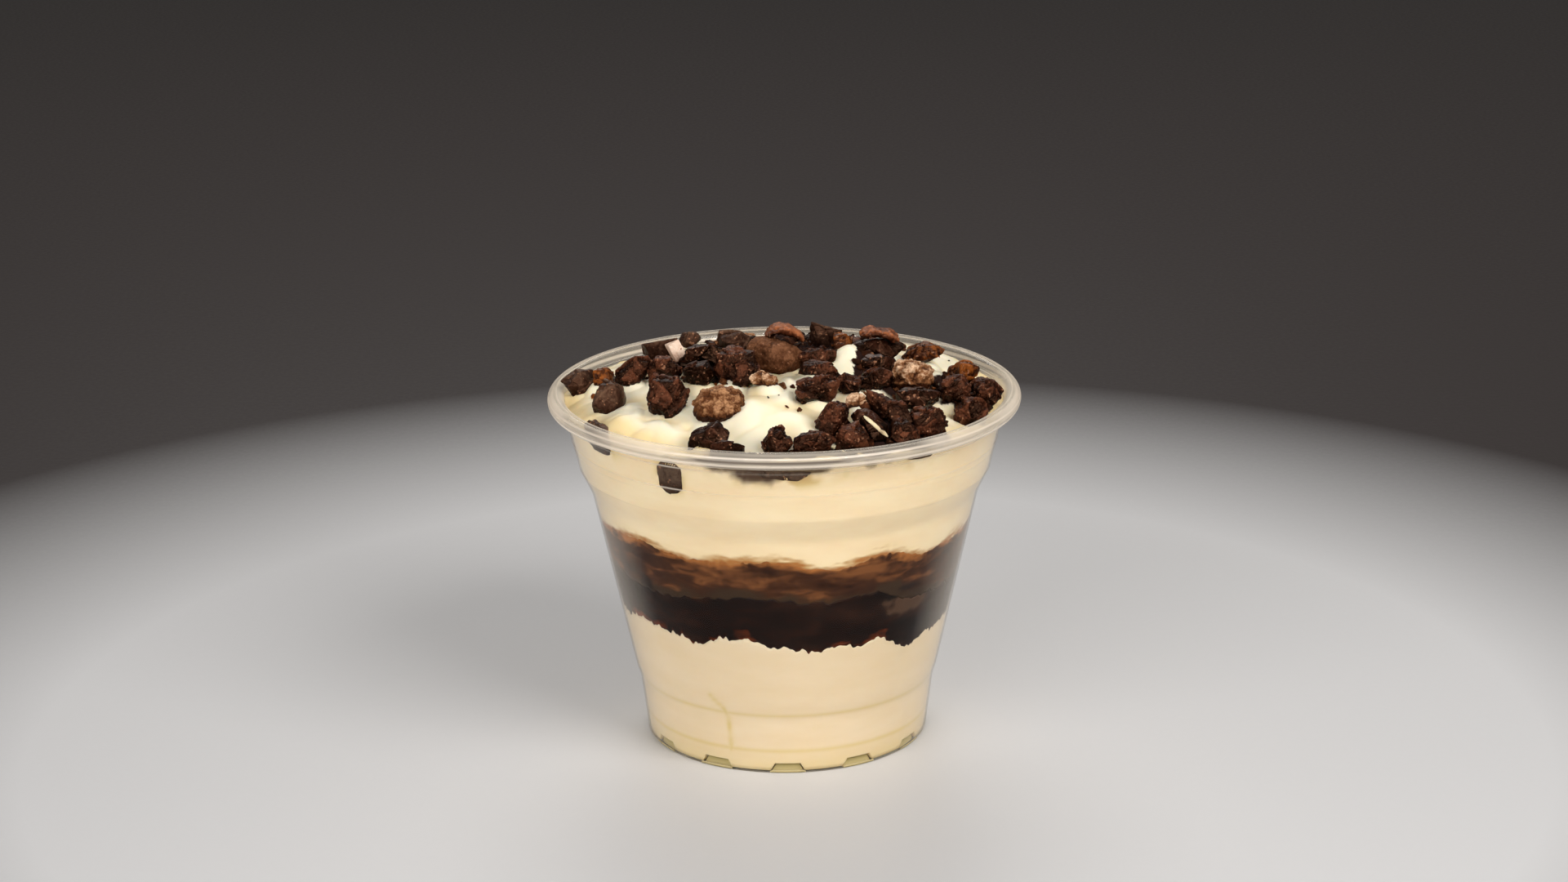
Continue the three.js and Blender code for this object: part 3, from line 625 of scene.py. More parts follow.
# %% The wall and the bead
def upper_rings():
    """Rings up the outside of the wall, round the inside of the curl to its free edge, back over the outside of the
    curl, and down the inside of the cup to the middle of its floor. The bead's painted bright and dark lines, which
    stand in for the light it bends, are listed round its section and fade where it looks milky, which shows two painted
    lines of shade instead."""
    turn = turns(CUP_COLUMNS)
    round_rim = (turn + 180) % 360 - 180
    for height in wall_heights(STRIP_TOP + 0.15, COLLAR_TOP, WALL_STEP, RING_STEPS):
        glint = sum(bell(height - middle, GLINT_WIDTH) for middle in WALL_GLINTS)
        yield wall_row(CUP_COLUMNS, height, 0, recessed=False), dict(
            white=glint * (0.2 + 0.7 * bell(round_rim - GLINT_TURN, GLINT_SPAN)))
    inner = BEAD_RADIUS - WALL
    yield on_circle(turn, RIM_RADIUS - BEAD_RADIUS - inner - 0.35, COLLAR_TOP + 0.9), dict(bead=0.5)
    for angle in np.linspace(CURL_START, CURL_END, 22):
        yield bead_row(angle, inner), dict(bead=1.0)
    angles, white, dark = np.array(BEAD_LINES).T
    at, least_white, most_dark = np.array(BEAD_ROUND).T
    showing = np.interp(round_rim, at, most_dark)
    for angle in np.linspace(CURL_END, CURL_START, 86):
        # Where the bead looks milky, the painted lines give way to two painted lines of shade.
        crease = sum(share * bell(angle - middle, width) for middle, width, share in BEAD_SHADE_LINES)
        least = np.interp(round_rim, at, least_white) * (1 - 0.8 * crease) * (angles[0] < angle < angles[-1])
        lines = np.interp(angle, angles, white, 0, 0) * (1 - 0.8 * crease * (1 - showing))
        yield bead_row(angle, BEAD_RADIUS), dict(
            bead=1.0, white=np.maximum(lines, least),
            dark=np.maximum(np.interp(angle, angles, dark, 0, 0) * showing, 0.3 * crease * (1 - showing)))
    yield on_circle(turn, RIM_RADIUS - 2 * BEAD_RADIUS - 0.12, RIM_HEIGHT - BEAD_RADIUS - 1.1), dict(bead=0.5)
    for height in wall_heights(CUP_FLOOR + 0.4, COLLAR_TOP, WALL_STEP, RING_STEPS[::2])[::-1]:
        yield wall_row(CUP_COLUMNS, height, WALL), {}
    yield wall_row(CUP_COLUMNS, CUP_FLOOR, WALL, shrink=0.4), {}
    for radius in FLOOR_RADII:
        yield on_circle(turn, radius, CUP_FLOOR), {}


print("The rest takes", len(list(upper_rings())), "rings")

# %% Clear plastic
def clear_plastic():
    """Clear sheet: it lets lamps through, mirrors more the closer to its own plane it is seen, and turns milky there,
    because the view then runs a long way through it. The rolled bead does so sooner than the wall. The bright and dark
    lines that the bead bends light into, as a rod of glass does, are painted: painted highlight and painted shade, kept
    as stored shares. Glass that bends light would leave the food dark."""
    material, tree = new_material("clear_plastic")
    bead, least_milk = stored(tree, "bead"), stored(tree, "milk")
    facing = place_node(tree, "LayerWeight", {"Blend": 0.5}, "Facing")
    slant = arithmetic(tree, "POWER", facing, 5.0)
    mirror = between(tree, bead, spread(tree, slant, 0, 1, 0.008, 1.0), spread(tree, slant, 0, 1, 0.015, 0.45))
    milk = between(tree, bead, spread(tree, facing, 0.48, 0.82, 0.0, 0.32),
                   spread(tree, facing, 0.56, 0.9, 0.02, 0.75))
    tone = blend(tree, bead, rgb(252, 238, 220), rgb(255, 246, 230))
    tone = blend(tree, least_milk, tone, rgb(250, 232, 166))
    # Painted shade: olive in the recesses of the foot and round its edge.
    tone = blend(tree, stored(tree, "olive"), tone, rgb(142, 128, 60))
    # Painted shade and painted highlight: the stored dark and bright lines are mixed into the milky sheet.
    for name, strength, colour in (("dark", 1.3, rgb(66, 46, 35)), ("white", 0.85, rgb(255, 243, 228))):
        line = stored(tree, name)
        tone = blend(tree, line, tone, colour)
        milk = arithmetic(tree, "MAXIMUM", milk, arithmetic(tree, "MULTIPLY", line, strength))
    milk = arithmetic(tree, "MAXIMUM", milk, least_milk)
    ripple = bumps(tree, noise(tree, 9, detail=1, stretch=(1, 1, 2.5)), 0.12, 0.25)
    clear = place_node(tree, "BsdfTransparent", {"Color": (0.985, 0.985, 0.98, 1)})
    milky = place_node(tree, "MixShader", {
        0: 0.25, 1: place_node(tree, "BsdfDiffuse", {"Color": tone}),
        2: place_node(tree, "BsdfTranslucent", {"Color": tone})})
    body = place_node(tree, "MixShader", {0: milk, 1: clear, 2: milky})
    gloss = place_node(tree, "BsdfGlossy", {"Roughness": 0.09, "Normal": ripple})
    finish_material(tree, place_node(tree, "MixShader", {
        0: between(tree, least_milk, mirror, 0.01), 1: body, 2: gloss}))
    return material


CLEAR_PLASTIC = clear_plastic()
print("The finish has", len(CLEAR_PLASTIC.node_tree.nodes), "nodes")

# %% The cup
rings, given = zip(*foot_rings(), *upper_rings())
shares = {name: np.array([np.broadcast_to(ring.get(name, 0.0), CUP_COLUMNS) for ring in given])
          for name in ("bead", "milk", "olive", "white", "dark")}
points, faces = closed_skin(np.array(rings))
add_piece("clear_cup", points, faces, CLEAR_PLASTIC, "clear_plastic", ["cup"],
          {name: per_point(values) for name, values in shares.items()})
print("Cup:", len(faces), "faces")

# %% [markdown]
# ## The layers
# Through the wall the layers show their edges: creams that lie wet against the plastic, and
# sponges whose borders are ragged with crumb. Each border is one function of the turn round the
# cup, and the piece below and the piece above both use it, so no gap can open between them.

# %% Borders of the layers
DARK_BOTTOM = [(-150, 28), (-100, 27.5), (-52, 30.4), (-34, 29), (-18, 31.2), (-3, 29), (20, 28.6),
               (33, 29), (46, 26), (60, 26.8), (100, 27), (140, 29.5)]
DARK_TOP = [(-150, 38), (-100, 39.5), (-45, 38.4), (-10, 40.4), (12, 39.2), (28, 40.3), (42, 37),
            (60, 36), (100, 38.5), (140, 40)]
BROWN_TOP = [(-150, 48.5), (-100, 46.8), (-52, 49.6), (-26, 48), (-5, 48.9), (14, 46.7), (30, 48.7),
             (48, 46.4), (62, 47), (100, 48.6), (140, 47)]
BORDER_CRUMB = ((3.4, 0.7), (1.5, 0.6), (0.7, 0.8))
BORDER_RADIUS = 38.0
RAGGED_FROM = 0.9


def around(listed, degrees):
    """Height at any turn: listed heights joined by half a cosine wave, right round the cup."""
    angles = np.array([angle for angle, _ in listed] + [listed[0][0] + 360])
    heights = np.array([height for _, height in listed] + [listed[0][1]])
    turned = (degrees - angles[0]) % 360 + angles[0]
    after = np.clip(np.searchsorted(angles, turned, side="right"), 1, len(angles) - 1)
    share = (turned - angles[after - 1]) / (angles[after] - angles[after - 1])
    ease = (1 - np.cos(math.pi * share)) / 2
    return heights[after - 1] + (heights[after] - heights[after - 1]) * ease


def border(listed, ragged, seed, degrees, share):
    """A layer's border: as listed at the wall plus ragged crumb, evening out towards the middle."""
    mean = np.mean([height for _, height in listed])
    spot = on_circle(degrees, BORDER_RADIUS, 0.0)
    crumb = sum(rise * waves(spot, size, seed + number) for number, (size, rise) in enumerate(BORDER_CRUMB))
    return mean + (around(listed, degrees) - mean + ragged * crumb * (share > RAGGED_FROM)) * share**2


BORDERS = {"dark_bottom": partial(border, DARK_BOTTOM, 0.75, 21),
           "dark_top": partial(border, DARK_TOP, 0.5, 31),
           "brown_top": partial(border, BROWN_TOP, 0.4, 41)}
for name, height_at in BORDERS.items():
    print(name, "at the front:", height_at(np.zeros(1), 1.0).round(2)[0], "mm")

# %% Upper surface of the cream
CREAM_EDGE = -3.0
CREAM_DOME = 9.0
CREAM_RADIUS = 45.0
CREAM_SWELLS = [
    (-33.5, -26, 5, 2), (-27, -30, 7, 1.2), (-37, 12, 9, 1.2), (-7, -27, 5.5, 2.4), (1, -30, 6, 1.6),
    (-8, -37, 5, -1.4), (13.5, -5, 5, 4.6), (33, -22, 6, -0.8), (36, 18, 9, 1.4), (-12, 34, 8, 0.8),
    (28, 32, 7, 1),
]
PIECE_SINK = 1.2
PIECE_SLOPE = 0.22
PIECE_BED = 0.3


def cream_surface(across, deep):
    """Height of the cream: a dome that meets the wall below the rim, plus a bell for each swell."""
    height = RIM_HEIGHT + CREAM_EDGE + CREAM_DOME * (1 - (across**2 + deep**2) / CREAM_RADIUS**2)
    for x, y, radius, rise in CREAM_SWELLS:
        height = height + rise * bell(np.hypot(across - x, deep - y), radius)
    return height


print("The dome is", cream_surface(0.0, 0.0).round(1), "mm high")

# %% Where pieces rest
def node_points(name):
    """The corners of a CAD node, in millimetres."""
    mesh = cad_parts[name].data
    corners = np.empty(3 * len(mesh.vertices))
    mesh.vertices.foreach_get("co", corners)
    return corners.reshape(-1, 3) / MM


def nodes_of(*kinds):
    """The names of the CAD nodes of those kinds, in order."""
    return sorted(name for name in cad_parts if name.split("_")[0] in kinds)


def middle_of(corners):
    """The middle of the box round some points."""
    return (corners.min(axis=0) + corners.max(axis=0)) / 2


LOOSE = nodes_of("cocoa", "black", "grey", "rust", "tan", "pink")
RESTS = []
for corners in map(node_points, LOOSE):
    middle = middle_of(corners)
    RESTS.append((middle, corners[:, 2].min(), np.linalg.norm(corners - middle, axis=1).max()))


def cream_top(across, deep):
    """The cream where it holds pieces up: under each one it rises to just above its underside, and
    falls away from there with the square of the distance."""
    height = cream_surface(across, deep)
    for middle, underside, reach in RESTS:
        away = np.hypot(across - middle[0], deep - middle[1])
        beyond = np.maximum(away - PIECE_BED * reach, 0)
        height = np.maximum(height, underside + PIECE_SINK - PIECE_SLOPE * beyond**2)
    return height


print(len(LOOSE), "pieces rest on the cream")

# %% Folds and crumb
# Where the cream lies bare, as circles: across, deep, radius. Where pieces crowd together and crumb
# hides it, as ovals: across, deep, two half widths, and how many fragments lie there.
BARE = [(32, -20, 4), (13.5, -29.5, 2), (12.9, -6, 2.1), (12.7, -8.5, 2.1), (12.3, -11, 1.9), (11.6, -14, 2),
        (10.5, -17, 2.6), (9, -20, 3), (-9, -31, 6), (-20, -25, 8), (-31, -23, 6)]
CROWDED = [(-13, -4, 10, 9, 60), (21, -33, 11, 9.5, 110), (21, -10, 11, 11, 80), (36, -8, 6, 11, 24),
           (4, -42, 14, 1.8, 30), (3, 13, 20, 19, 150)]


def folds(spot):
    """Soft lumps with narrow valleys, as whipped cream has: the size of a slow wave without its
    sign, a little rounded where the wave passes zero, taken at places that other waves shift."""
    shift = np.stack([waves(spot, 5.0, 64), waves(spot, 5.0, 65), 0 * spot[..., 0]], axis=-1)
    lumps = np.sqrt(waves(spot + 1.6 * shift, 8.0, 61) ** 2 + 0.012)
    lumps = lumps + 0.4 * np.sqrt(waves(spot + shift, 3.6, 62) ** 2 + 0.02)
    return 1.4 * (lumps - 0.52) + 0.04 * waves(spot, 1.4, 63)


def is_bare(across, deep):
    """True where the cream is left bare between the pieces."""
    return np.any([np.hypot(across - x, deep - y) < radius for x, y, radius in BARE], axis=0)


def from_oval(across, along, middle_across, middle_along, half_across, half_along):
    """How far each place is from the middle of an oval, where 1 is the oval's edge."""
    return np.hypot((across - middle_across) / half_across, (along - middle_along) / half_along)


def crumb_cover(spot):
    """How much fine dark crumb hides the cream, from 0 to 1: all of it where pieces crowd together,
    with a ragged edge."""
    cover = 0.0
    for *oval, _ in CROWDED:
        reach = from_oval(spot[..., 0], spot[..., 1], *oval)
        cover = np.maximum(cover, held((1.0 - reach + 0.3 * waves(spot, 2.6, 91)) / 0.12))
    return cover * ~is_bare(spot[..., 0], spot[..., 1])


def whipped(across, deep):
    """The cream's surface: where it holds the pieces up, plus its folds, plus the crumb on it."""
    spot = np.stack(np.broadcast_arrays(across, deep, 0.0), axis=-1)
    crumb = np.maximum(grains(spot, 1.1, 92), -0.3) + 0.5 * np.maximum(grains(spot, 0.6, 96), -0.3)
    return cream_top(across, deep) + folds(spot) + 0.45 * crumb_cover(spot) * crumb


print("Cream at the middle stands", whipped(np.zeros(1), np.zeros(1)).round(1)[0], "mm high")

# %% Layer surfaces
INTO_WALL, SPONGE_INTO_WALL = 0.12, 0.09
LAYER_COLUMNS = 720
FACE_SHARES = (0.97, 0.8, 0.4, 0)
LOW_CREAM_RADII = (0, 10, 20, 25)
LOW_CREAM_RINGS_TO = 24


def inner_wall(height, into=INTO_WALL):
    """Radius that just bites into the inside of the wall, and into the bead's inner side above."""
    neck = RIM_RADIUS - 2 * BEAD_RADIUS
    collar = wall_radius(np.minimum(height, COLLAR_TOP)) - WALL
    rise = held((height - COLLAR_TOP) / (RIM_HEIGHT - BEAD_RADIUS - COLLAR_TOP))
    return collar + (neck - collar) * rise + into


def side_and_top(turn, low, top, side_shares, top_shares, into=INTO_WALL):
    """Rings up the wall, from the low heights to the edge of the top, and back across the top. top
    gives the height for a turn and a share of the way out."""
    edge = top(turn, 1.0)
    heights = [low + (edge - low) * share for share in side_shares]
    side = [on_circle(turn, inner_wall(height, into), height) for height in heights]
    return side + [on_circle(turn, inner_wall(edge, into) * share, top(turn, share)) for share in top_shares]


def layer_grid(bottom, top, side_shares, top_shares, into=INTO_WALL):
    """A layer as a grid: across its lower face, up the wall, and back across its upper face."""
    turn = turns(LAYER_COLUMNS)
    rows = []
    for share in FACE_SHARES[::-1]:
        height = bottom(turn, share)
        rows.append(on_circle(turn, inner_wall(height, into) * share, height))
    return np.array(rows + side_and_top(turn, bottom(turn, 1.0), top, side_shares, top_shares, into))


def low_cream_grid():
    """The lowest cream: it starts on the cup's floor and follows the recesses of the foot."""
    start = CUP_FLOOR - INTO_WALL
    turn = turns(LAYER_COLUMNS)
    rows = [on_circle(turn, radius, start) for radius in LOW_CREAM_RADII]
    for height in wall_heights(start, LOW_CREAM_RINGS_TO, 0.9, RING_STEPS[::2]):
        rows.append(wall_row(LAYER_COLUMNS, height, WALL - INTO_WALL, widen=0.0))
    return np.array(rows + side_and_top(turn, LOW_CREAM_RINGS_TO, BORDERS["dark_bottom"],
                                        np.linspace(0, 1, 8)[1:], FACE_SHARES))


SPONGE_SIDE = np.linspace(0, 1, 24)
LAYERS = {
    "cream_lower": low_cream_grid(),
    "sponge_dark": layer_grid(BORDERS["dark_bottom"], BORDERS["dark_top"], SPONGE_SIDE, FACE_SHARES, SPONGE_INTO_WALL),
    "sponge_brown": layer_grid(BORDERS["dark_top"], BORDERS["brown_top"], SPONGE_SIDE, FACE_SHARES, SPONGE_INTO_WALL),
}
for name, grid in LAYERS.items():
    print(name, grid.shape[0], "rings")

# %% [markdown]
# ## Creams and sponges
# Cream is pale because light goes in and comes out again, so it gets a little subsurface
# scattering. Against the plastic it looks deeper and warmer than on top. The sponges are dark,
# mottled crumb, streaked sideways where they were pressed into the cup.

# %% Finish of the creams
OIL_AND_SHADE_COLOUR, STAIN_COLOUR = rgb(206, 182, 96), rgb(170, 108, 52)
SOIL_COLOURS = rgb(34, 13, 6), rgb(84, 64, 49)


def cream_finish(name, *colours):
    """Cream: for its open surface a colour for lumps and one for the hollows between them, which is painted shade, and
    two for where it lies on the wall, by the stored 'on_wall', with oily yellow, which in the lower cream also paints
    lines of shade at the ridges of the foot, with brown where crumb has stained it, and with the dark of crumb that
    covers it, which also paints the shade in the gaps between crowded pieces."""
    top, hollow, wall, wall_shade = (rgb(*colour) for colour in colours)
    material, tree = new_material(name)
    on_wall, soil = stored(tree, "on_wall"), stored(tree, "soil")
    streaks = spread(tree, noise(tree, 15, detail=3, stretch=(1, 1, 0.3)), 0.3, 0.7)
    open_colour = blend(tree, stored(tree, "hollow"), top, hollow)
    colour = blend(tree, on_wall, open_colour, blend(tree, streaks, wall, wall_shade))
    colour = blend(tree, stored(tree, "oil"), colour, OIL_AND_SHADE_COLOUR)
    colour = blend(tree, stored(tree, "stain"), colour, STAIN_COLOUR)
    colour = blend(tree, soil, colour, blend(tree, on_wall, *SOIL_COLOURS))
    finish_material(tree, place_node(tree, "BsdfPrincipled", {
        "Base Color": colour, "Roughness": spread(tree, soil, 0, 1, 0.42, 1.0),
        "Normal": bumps(tree, noise(tree, 0.9, detail=3), 0.05, 0.5), "Subsurface Weight": 0.25,
        "Subsurface Radius": (1.0, 0.7, 0.4), "Subsurface Scale": 0.002, "Specular IOR Level": 0.15}))
    return material


print("Cream takes five shares from its mesh")

# %% Finish of the sponges
def sponge_finish(name, upper_from, lower_to, *colours):
    """Wet sponge: mottled crumb streaked sideways, with one colour along its upper border and one
    along its lower, by the stored 'rise', which goes from 0 at the lower border to 1 at the upper,
    and one more for the stored 'patch'."""
    dark, middle, light, upper, lower, patch = (rgb(*colour) for colour in colours)
    material, tree = new_material(name)
    crumb = noise(tree, 2.4, detail=4, roughness=0.62, stretch=(1.9, 1.9, 0.7), distortion=0.5)
    slow = noise(tree, 8, detail=2, stretch=(1.7, 1.7, 0.5))
    colour = ramp(tree, between(tree, 0.5, crumb, slow), [(0.36, dark), (0.5, middle), (0.64, light)])
    ragged = noise(tree, 6, detail=5, stretch=(1.6, 1.6, 0.6))
    height = arithmetic(tree, "MULTIPLY_ADD", ragged, 1.0, stored(tree, "rise"))
    colour = blend(tree, spread(tree, height, 0.5 + lower_to, 0.34 + lower_to), colour, lower)
    colour = blend(tree, spread(tree, height, 0.5 + upper_from, 0.7 + upper_from), colour, upper)
    finish_material(tree, place_node(tree, "BsdfPrincipled", {
        "Base Color": blend(tree, stored(tree, "patch"), colour, patch),
        "Roughness": spread(tree, crumb, 0.3, 0.7, 0.5, 0.75),
        "Normal": bumps(tree, crumb, 0.2, 0.25), "Specular IOR Level": 0.05}))
    return material


print("Sponge takes two shares from its mesh")

# %% Looks of the layers
LOOKS = {
    "cream_upper": (cream_finish(
        "cream", (255, 245, 218), (243, 217, 160), (250, 231, 194), (243, 220, 180)), "cream"),
    "cream_lower": (cream_finish(
        "low_cream", (243, 220, 185), (240, 214, 174), (230, 211, 180), (226, 205, 170)), "cream"),
    "sponge_dark": (sponge_finish(
        "dark_sponge", 0.92, 0.12, (14, 5, 3), (25, 11, 7), (46, 26, 17), (46, 26, 16), (104, 46, 18),
        (84, 62, 47)), "dark_sponge"),
    "sponge_brown": (sponge_finish(
        "brown_sponge", 0.84, 0.26, (38, 18, 10), (68, 40, 23), (122, 77, 44), (172, 110, 58), (58, 43, 30),
        (34, 23, 19)), "brown_sponge"),
}
print("Finishes of", ", ".join(LOOKS))

# %% Marks in the layers
# Painted golden lines of shade on the cream behind the ridges of the foot, by height, width and share, and one thin run
# of yellow oil, given by its turns from the front in degrees and its heights.
FOOT_LINES = [(13.1, 0.45, 0.36), (4.95, 0.5, 0.38)]
OIL_RUN = [(-29.5, 16.6), (-25.0, 14.2), (-23.2, 12.0), (-22.8, 4.6)]
OIL_RADIUS, OIL_WIDTH = 30.5, 0.6
# Patches in the sponges: turn, height and two half sizes. They are light in the dark sponge and dark
# in the brown one.
PATCHES = {"sponge_dark": [(42, 36.2, 9.5, 2.5)], "sponge_brown": [(-50, 39.6, 4, 2.6), (42, 39.6, 8, 0.8)]}
PATCH_SHARE = 0.85
RISE_FROM, RISE_TO = -0.12, 1.12


def away_from_run(turn, height, run, radius):
    """Distance in millimetres on the wall, from each place to the nearest point of a bent line."""
    places = np.stack([np.radians(turn) * radius, height], axis=-1)
    corners = [np.array([math.radians(degrees) * radius, level]) for degrees, level in run]
    nearest = np.inf
    for start, end in zip(corners[:-1], corners[1:]):
        way = end - start
        share = held(((places - start) @ way) / (way @ way))
        nearest = np.minimum(nearest, np.linalg.norm(places - start - share[..., None] * way, axis=-1))
    return nearest


def turn_of(grid):
    """Turn from the front of every point of a grid, in degrees."""
    return np.degrees(np.arctan2(grid[..., 0], -grid[..., 1]))


print("The run of oil has", len(OIL_RUN), "corners")

# %% The lower layers
def marks_of(name, grid):
    """The shares that a layer's finish reads at each point."""
    turn, level = turn_of(grid), grid[..., 2]
    if name in PATCHES:
        patch = np.zeros(level.shape)
        for oval in PATCHES[name]:
            reach = from_oval(turn, level, *oval)
            reach = reach + 0.4 * waves(grid * (1, 1, 1.6), 2.4, 73) + 0.2 * waves(grid, 0.9, 74)
            patch = np.maximum(patch, PATCH_SHARE * held((1.0 - reach) / 0.35))
        return {"rise": np.linspace(RISE_FROM, RISE_TO, len(grid))[:, None] + 0 * level, "patch": patch}
    # Painted shade: darker golden lines at the ridges of the foot. The cream is also made yellower towards the foot.
    lines = sum(share * bell(level - middle, width) for middle, width, share in FOOT_LINES)
    run = bell(away_from_run(turn, level, OIL_RUN, OIL_RADIUS), OIL_WIDTH)
    run = 0.7 * (0.65 + 0.35 * waves(grid, 2.0, 71)) * run
    return {"on_wall": np.ones(level.shape), "oil": np.maximum(run, np.clip(0.4 - level / 14, 0, 0.35) + lines)}


def add_layer(name, grid, marks):
    """A layer's skin in its finish, with its marks stored."""
    points, faces = closed_skin(grid)
    add_piece(name + "_seen", points, faces, *LOOKS[name], [name],
              {mark: per_point(values) for mark, values in marks.items()})
    print(name, len(faces), "faces")


for name, grid in LAYERS.items():
    add_layer(name, grid, marks_of(name, grid))

# %% Upper cream
# Chocolate smeared thinly between the cream and the wall: its share, turn, height and two half sizes.
SMEARS = [(1.0, -7, 69.3, 7, 2.6), (0.95, -7, 70.6, 13, 1.7), (0.9, 4, 70.7, 9.5, 1.6), (0.6, 22, 70.2, 1.6, 0.9),
          (0.5, 27, 70.5, 1.5, 0.7)]
CREAM_RINGS, SIDE_RINGS, SIDE_CROWD = 150, 64, 1.5
DEEP_SHADE_FROM, DEEP_SHADE_OVER = 39, 4


def open_cream(degrees, share):
    """Height of the whipped surface at a turn and a share of the way out."""
    spot = on_circle(degrees, share * inner_wall(np.float64(COLLAR_TOP + 2)), 0.0)
    return whipped(spot[..., 0], spot[..., 1])


grid = layer_grid(BORDERS["brown_top"], open_cream, np.linspace(0, 1, SIDE_RINGS) ** SIDE_CROWD,
                  np.linspace(1, 0, CREAM_RINGS)[1:])
turn, level = turn_of(grid), grid[..., 2]
on_wall = np.zeros(level.shape)
on_wall[:len(FACE_SHARES) + SIDE_RINGS] = 1
on_wall[len(FACE_SHARES) + SIDE_RINGS - 1] = 0.7
# Painted shade: the cream is coloured yellower in the hollows between its folds, and near the wall, where shade falls.
rim_shade = held((np.hypot(grid[..., 0], grid[..., 1]) - DEEP_SHADE_FROM) / DEEP_SHADE_OVER)
hollow = np.maximum(held(0.2 - folds(grid * (1, 1, 0))), 0.9 * rim_shade)
print("Deepest hollow:", hollow.max().round(2))

# %% Stains and smears on the upper cream
# Crumb stains the cream along the brown sponge, in places, and smears it round the pressed pieces.
above = level - around(BROWN_TOP, turn)
patchy = held(0.45 + 0.9 * waves(grid, 8.0, 81) + 0.3 * waves(grid * (1, 1, 2), 2.6, 82))
wisps = waves(grid * (0.5, 0.5, 2.4), 1.3, 87) + 0.6 * waves(grid * (1, 1, 2.4), 1.0, 88)
stain = 0.95 * held((1.1 - above / (0.5 + 1.5 * patchy) + 0.5 * wisps) / 1.2) * held(2.5 - above)
oil = 0.55 * patchy * held(1.2 - above / 2.4 + 0.3 * wisps) ** 2 * held(3.5 - above)
for corners in map(node_points, nodes_of("pressed")):
    middle = middle_of(corners)
    half_turn = np.abs(turn_of(corners) - turn_of(middle)).max()
    reach = from_oval(turn, level, turn_of(middle), middle[2], half_turn, np.ptp(corners[:, 2]) / 2)
    smear = held(2.0 - reach) * held(0.3 + waves(grid, 3.0, 83) + 0.5 * waves(grid, 1.2, 84))
    oil = np.maximum(oil, 0.6 * smear)
    stain = np.maximum(stain, 0.4 * smear * held(1.5 - reach))
# Dark crumb covers the cream where pieces crowd. Its near-black also paints the shade in the gaps between them.
soil = crumb_cover(grid * (1, 1, 0)) * (1 - on_wall)
for share, *oval in SMEARS:
    reach = from_oval(turn, level, *oval) + 0.3 * waves(grid, 2.4, 85) + 0.15 * waves(grid, 0.9, 86)
    soil = np.maximum(soil, share * held((1.15 - reach) / 0.5) * on_wall)
add_layer("cream_upper", grid, {
    "on_wall": on_wall, "stain": stain * on_wall, "oil": oil * on_wall, "hollow": hollow, "soil": soil})

# %% [markdown]
# ## Broken pieces
# A broken lump has flat breaks that meet in worn edges, and crumb all over them. Its CAD node is
# the plain hull with the same breaks. Dividing each direction's reach by every face's distance and
# adding the results as high powers gives that hull with rounded edges, at any fineness, and the
# grains are then laid on it.

# %% Rounded hulls
def hull_faces(corners):
    """Outward directions and distances, from the middle, of the faces of the hull round some points."""
    middle = middle_of(corners)
    shell = bmesh.new()
    for corner in corners - middle:
        shell.verts.new(corner)
    bmesh.ops.convex_hull(shell, input=shell.verts)
    directions = np.array([face.normal for face in shell.faces])
    distances = np.array([face.normal.dot(face.verts[0].co) for face in shell.faces])
    shell.free()
    flip = np.sign(distances)
    return middle, directions * flip[:, None], np.maximum(distances * flip, 0.05)


def rounded_hull(ways, directions, distances, sharpness):
    """How far the hull reaches each way, with worn edges: one over the p-norm, over all faces, of
    way . direction / distance. The larger p is, the sharper the edges are. With it, how close each
    way is to an edge, from 0 to 1: there two faces count alike, so the norm exceeds its largest part."""
    facing = np.maximum(ways @ directions.T / distances, 0)
    reach = (facing**sharpness).sum(axis=1) ** (-1 / sharpness)
    edge = (1 - facing.max(axis=1) * reach) / (1 - 2 ** (-1 / sharpness))
    return reach, held(edge) ** 2


print("Edges are the more worn, the lower the power")

# %% Forms of the broken pieces
# Shards are given by size, rise and crease, and grains by size and rise, all in millimetres.
Form = namedtuple("Form", "sharpness grow lobes pits shards grains soaked tall", defaults=(0.5, 0))
KIND_FORMS = {
    "cocoa": Form(40, 1.09, 0.22, 0.2, ((3.4, 0.4, 0.08), (1.5, 0.15, 0.07), (0.7, 0.06, 0.05)), ((0.6, 0.06),)),
    "black": Form(60, 1.05, 0.16, 0.05, ((4.2, 0.34, 0.06), (1.8, 0.1, 0.04)), ()),
    "grey": Form(60, 1.05, 0.16, 0.03, ((4.4, 0.3, 0.05), (1.6, 0.07, 0.03)), ()),
    "mound": Form(16, 1.12, 0.3, 0.2, ((2.2, 0.1, 0.06),), ((1.3, 0.12), (0.6, 0.08)), tall=0.9),
    "rust": Form(20, 1.08, 0.4, 0.2, ((2.8, 0.3, 0.12), (1.3, 0.1, 0.06)), ((0.7, 0.05),)),
    "tan": Form(14, 1.1, 0.5, 0.5, ((2.6, 0.24, 0.14),), ((1.25, 0.34), (0.7, 0.2)), soaked=1.7),
    "pink": Form(40, 1.05, 0.1, 0.05, ((2.4, 0.1, 0.04),), ()),
}
KIND_FORMS["nut"] = KIND_FORMS["tan"]
FULL_RELIEF_FROM = 3.2
# Painted light and shade in the relief: lighter along the edges and towards the top, darker low down.
EDGE_WEAR_AND_HIGHLIGHT = 0.3
PAINTED_TOP_LIGHT = 0.7


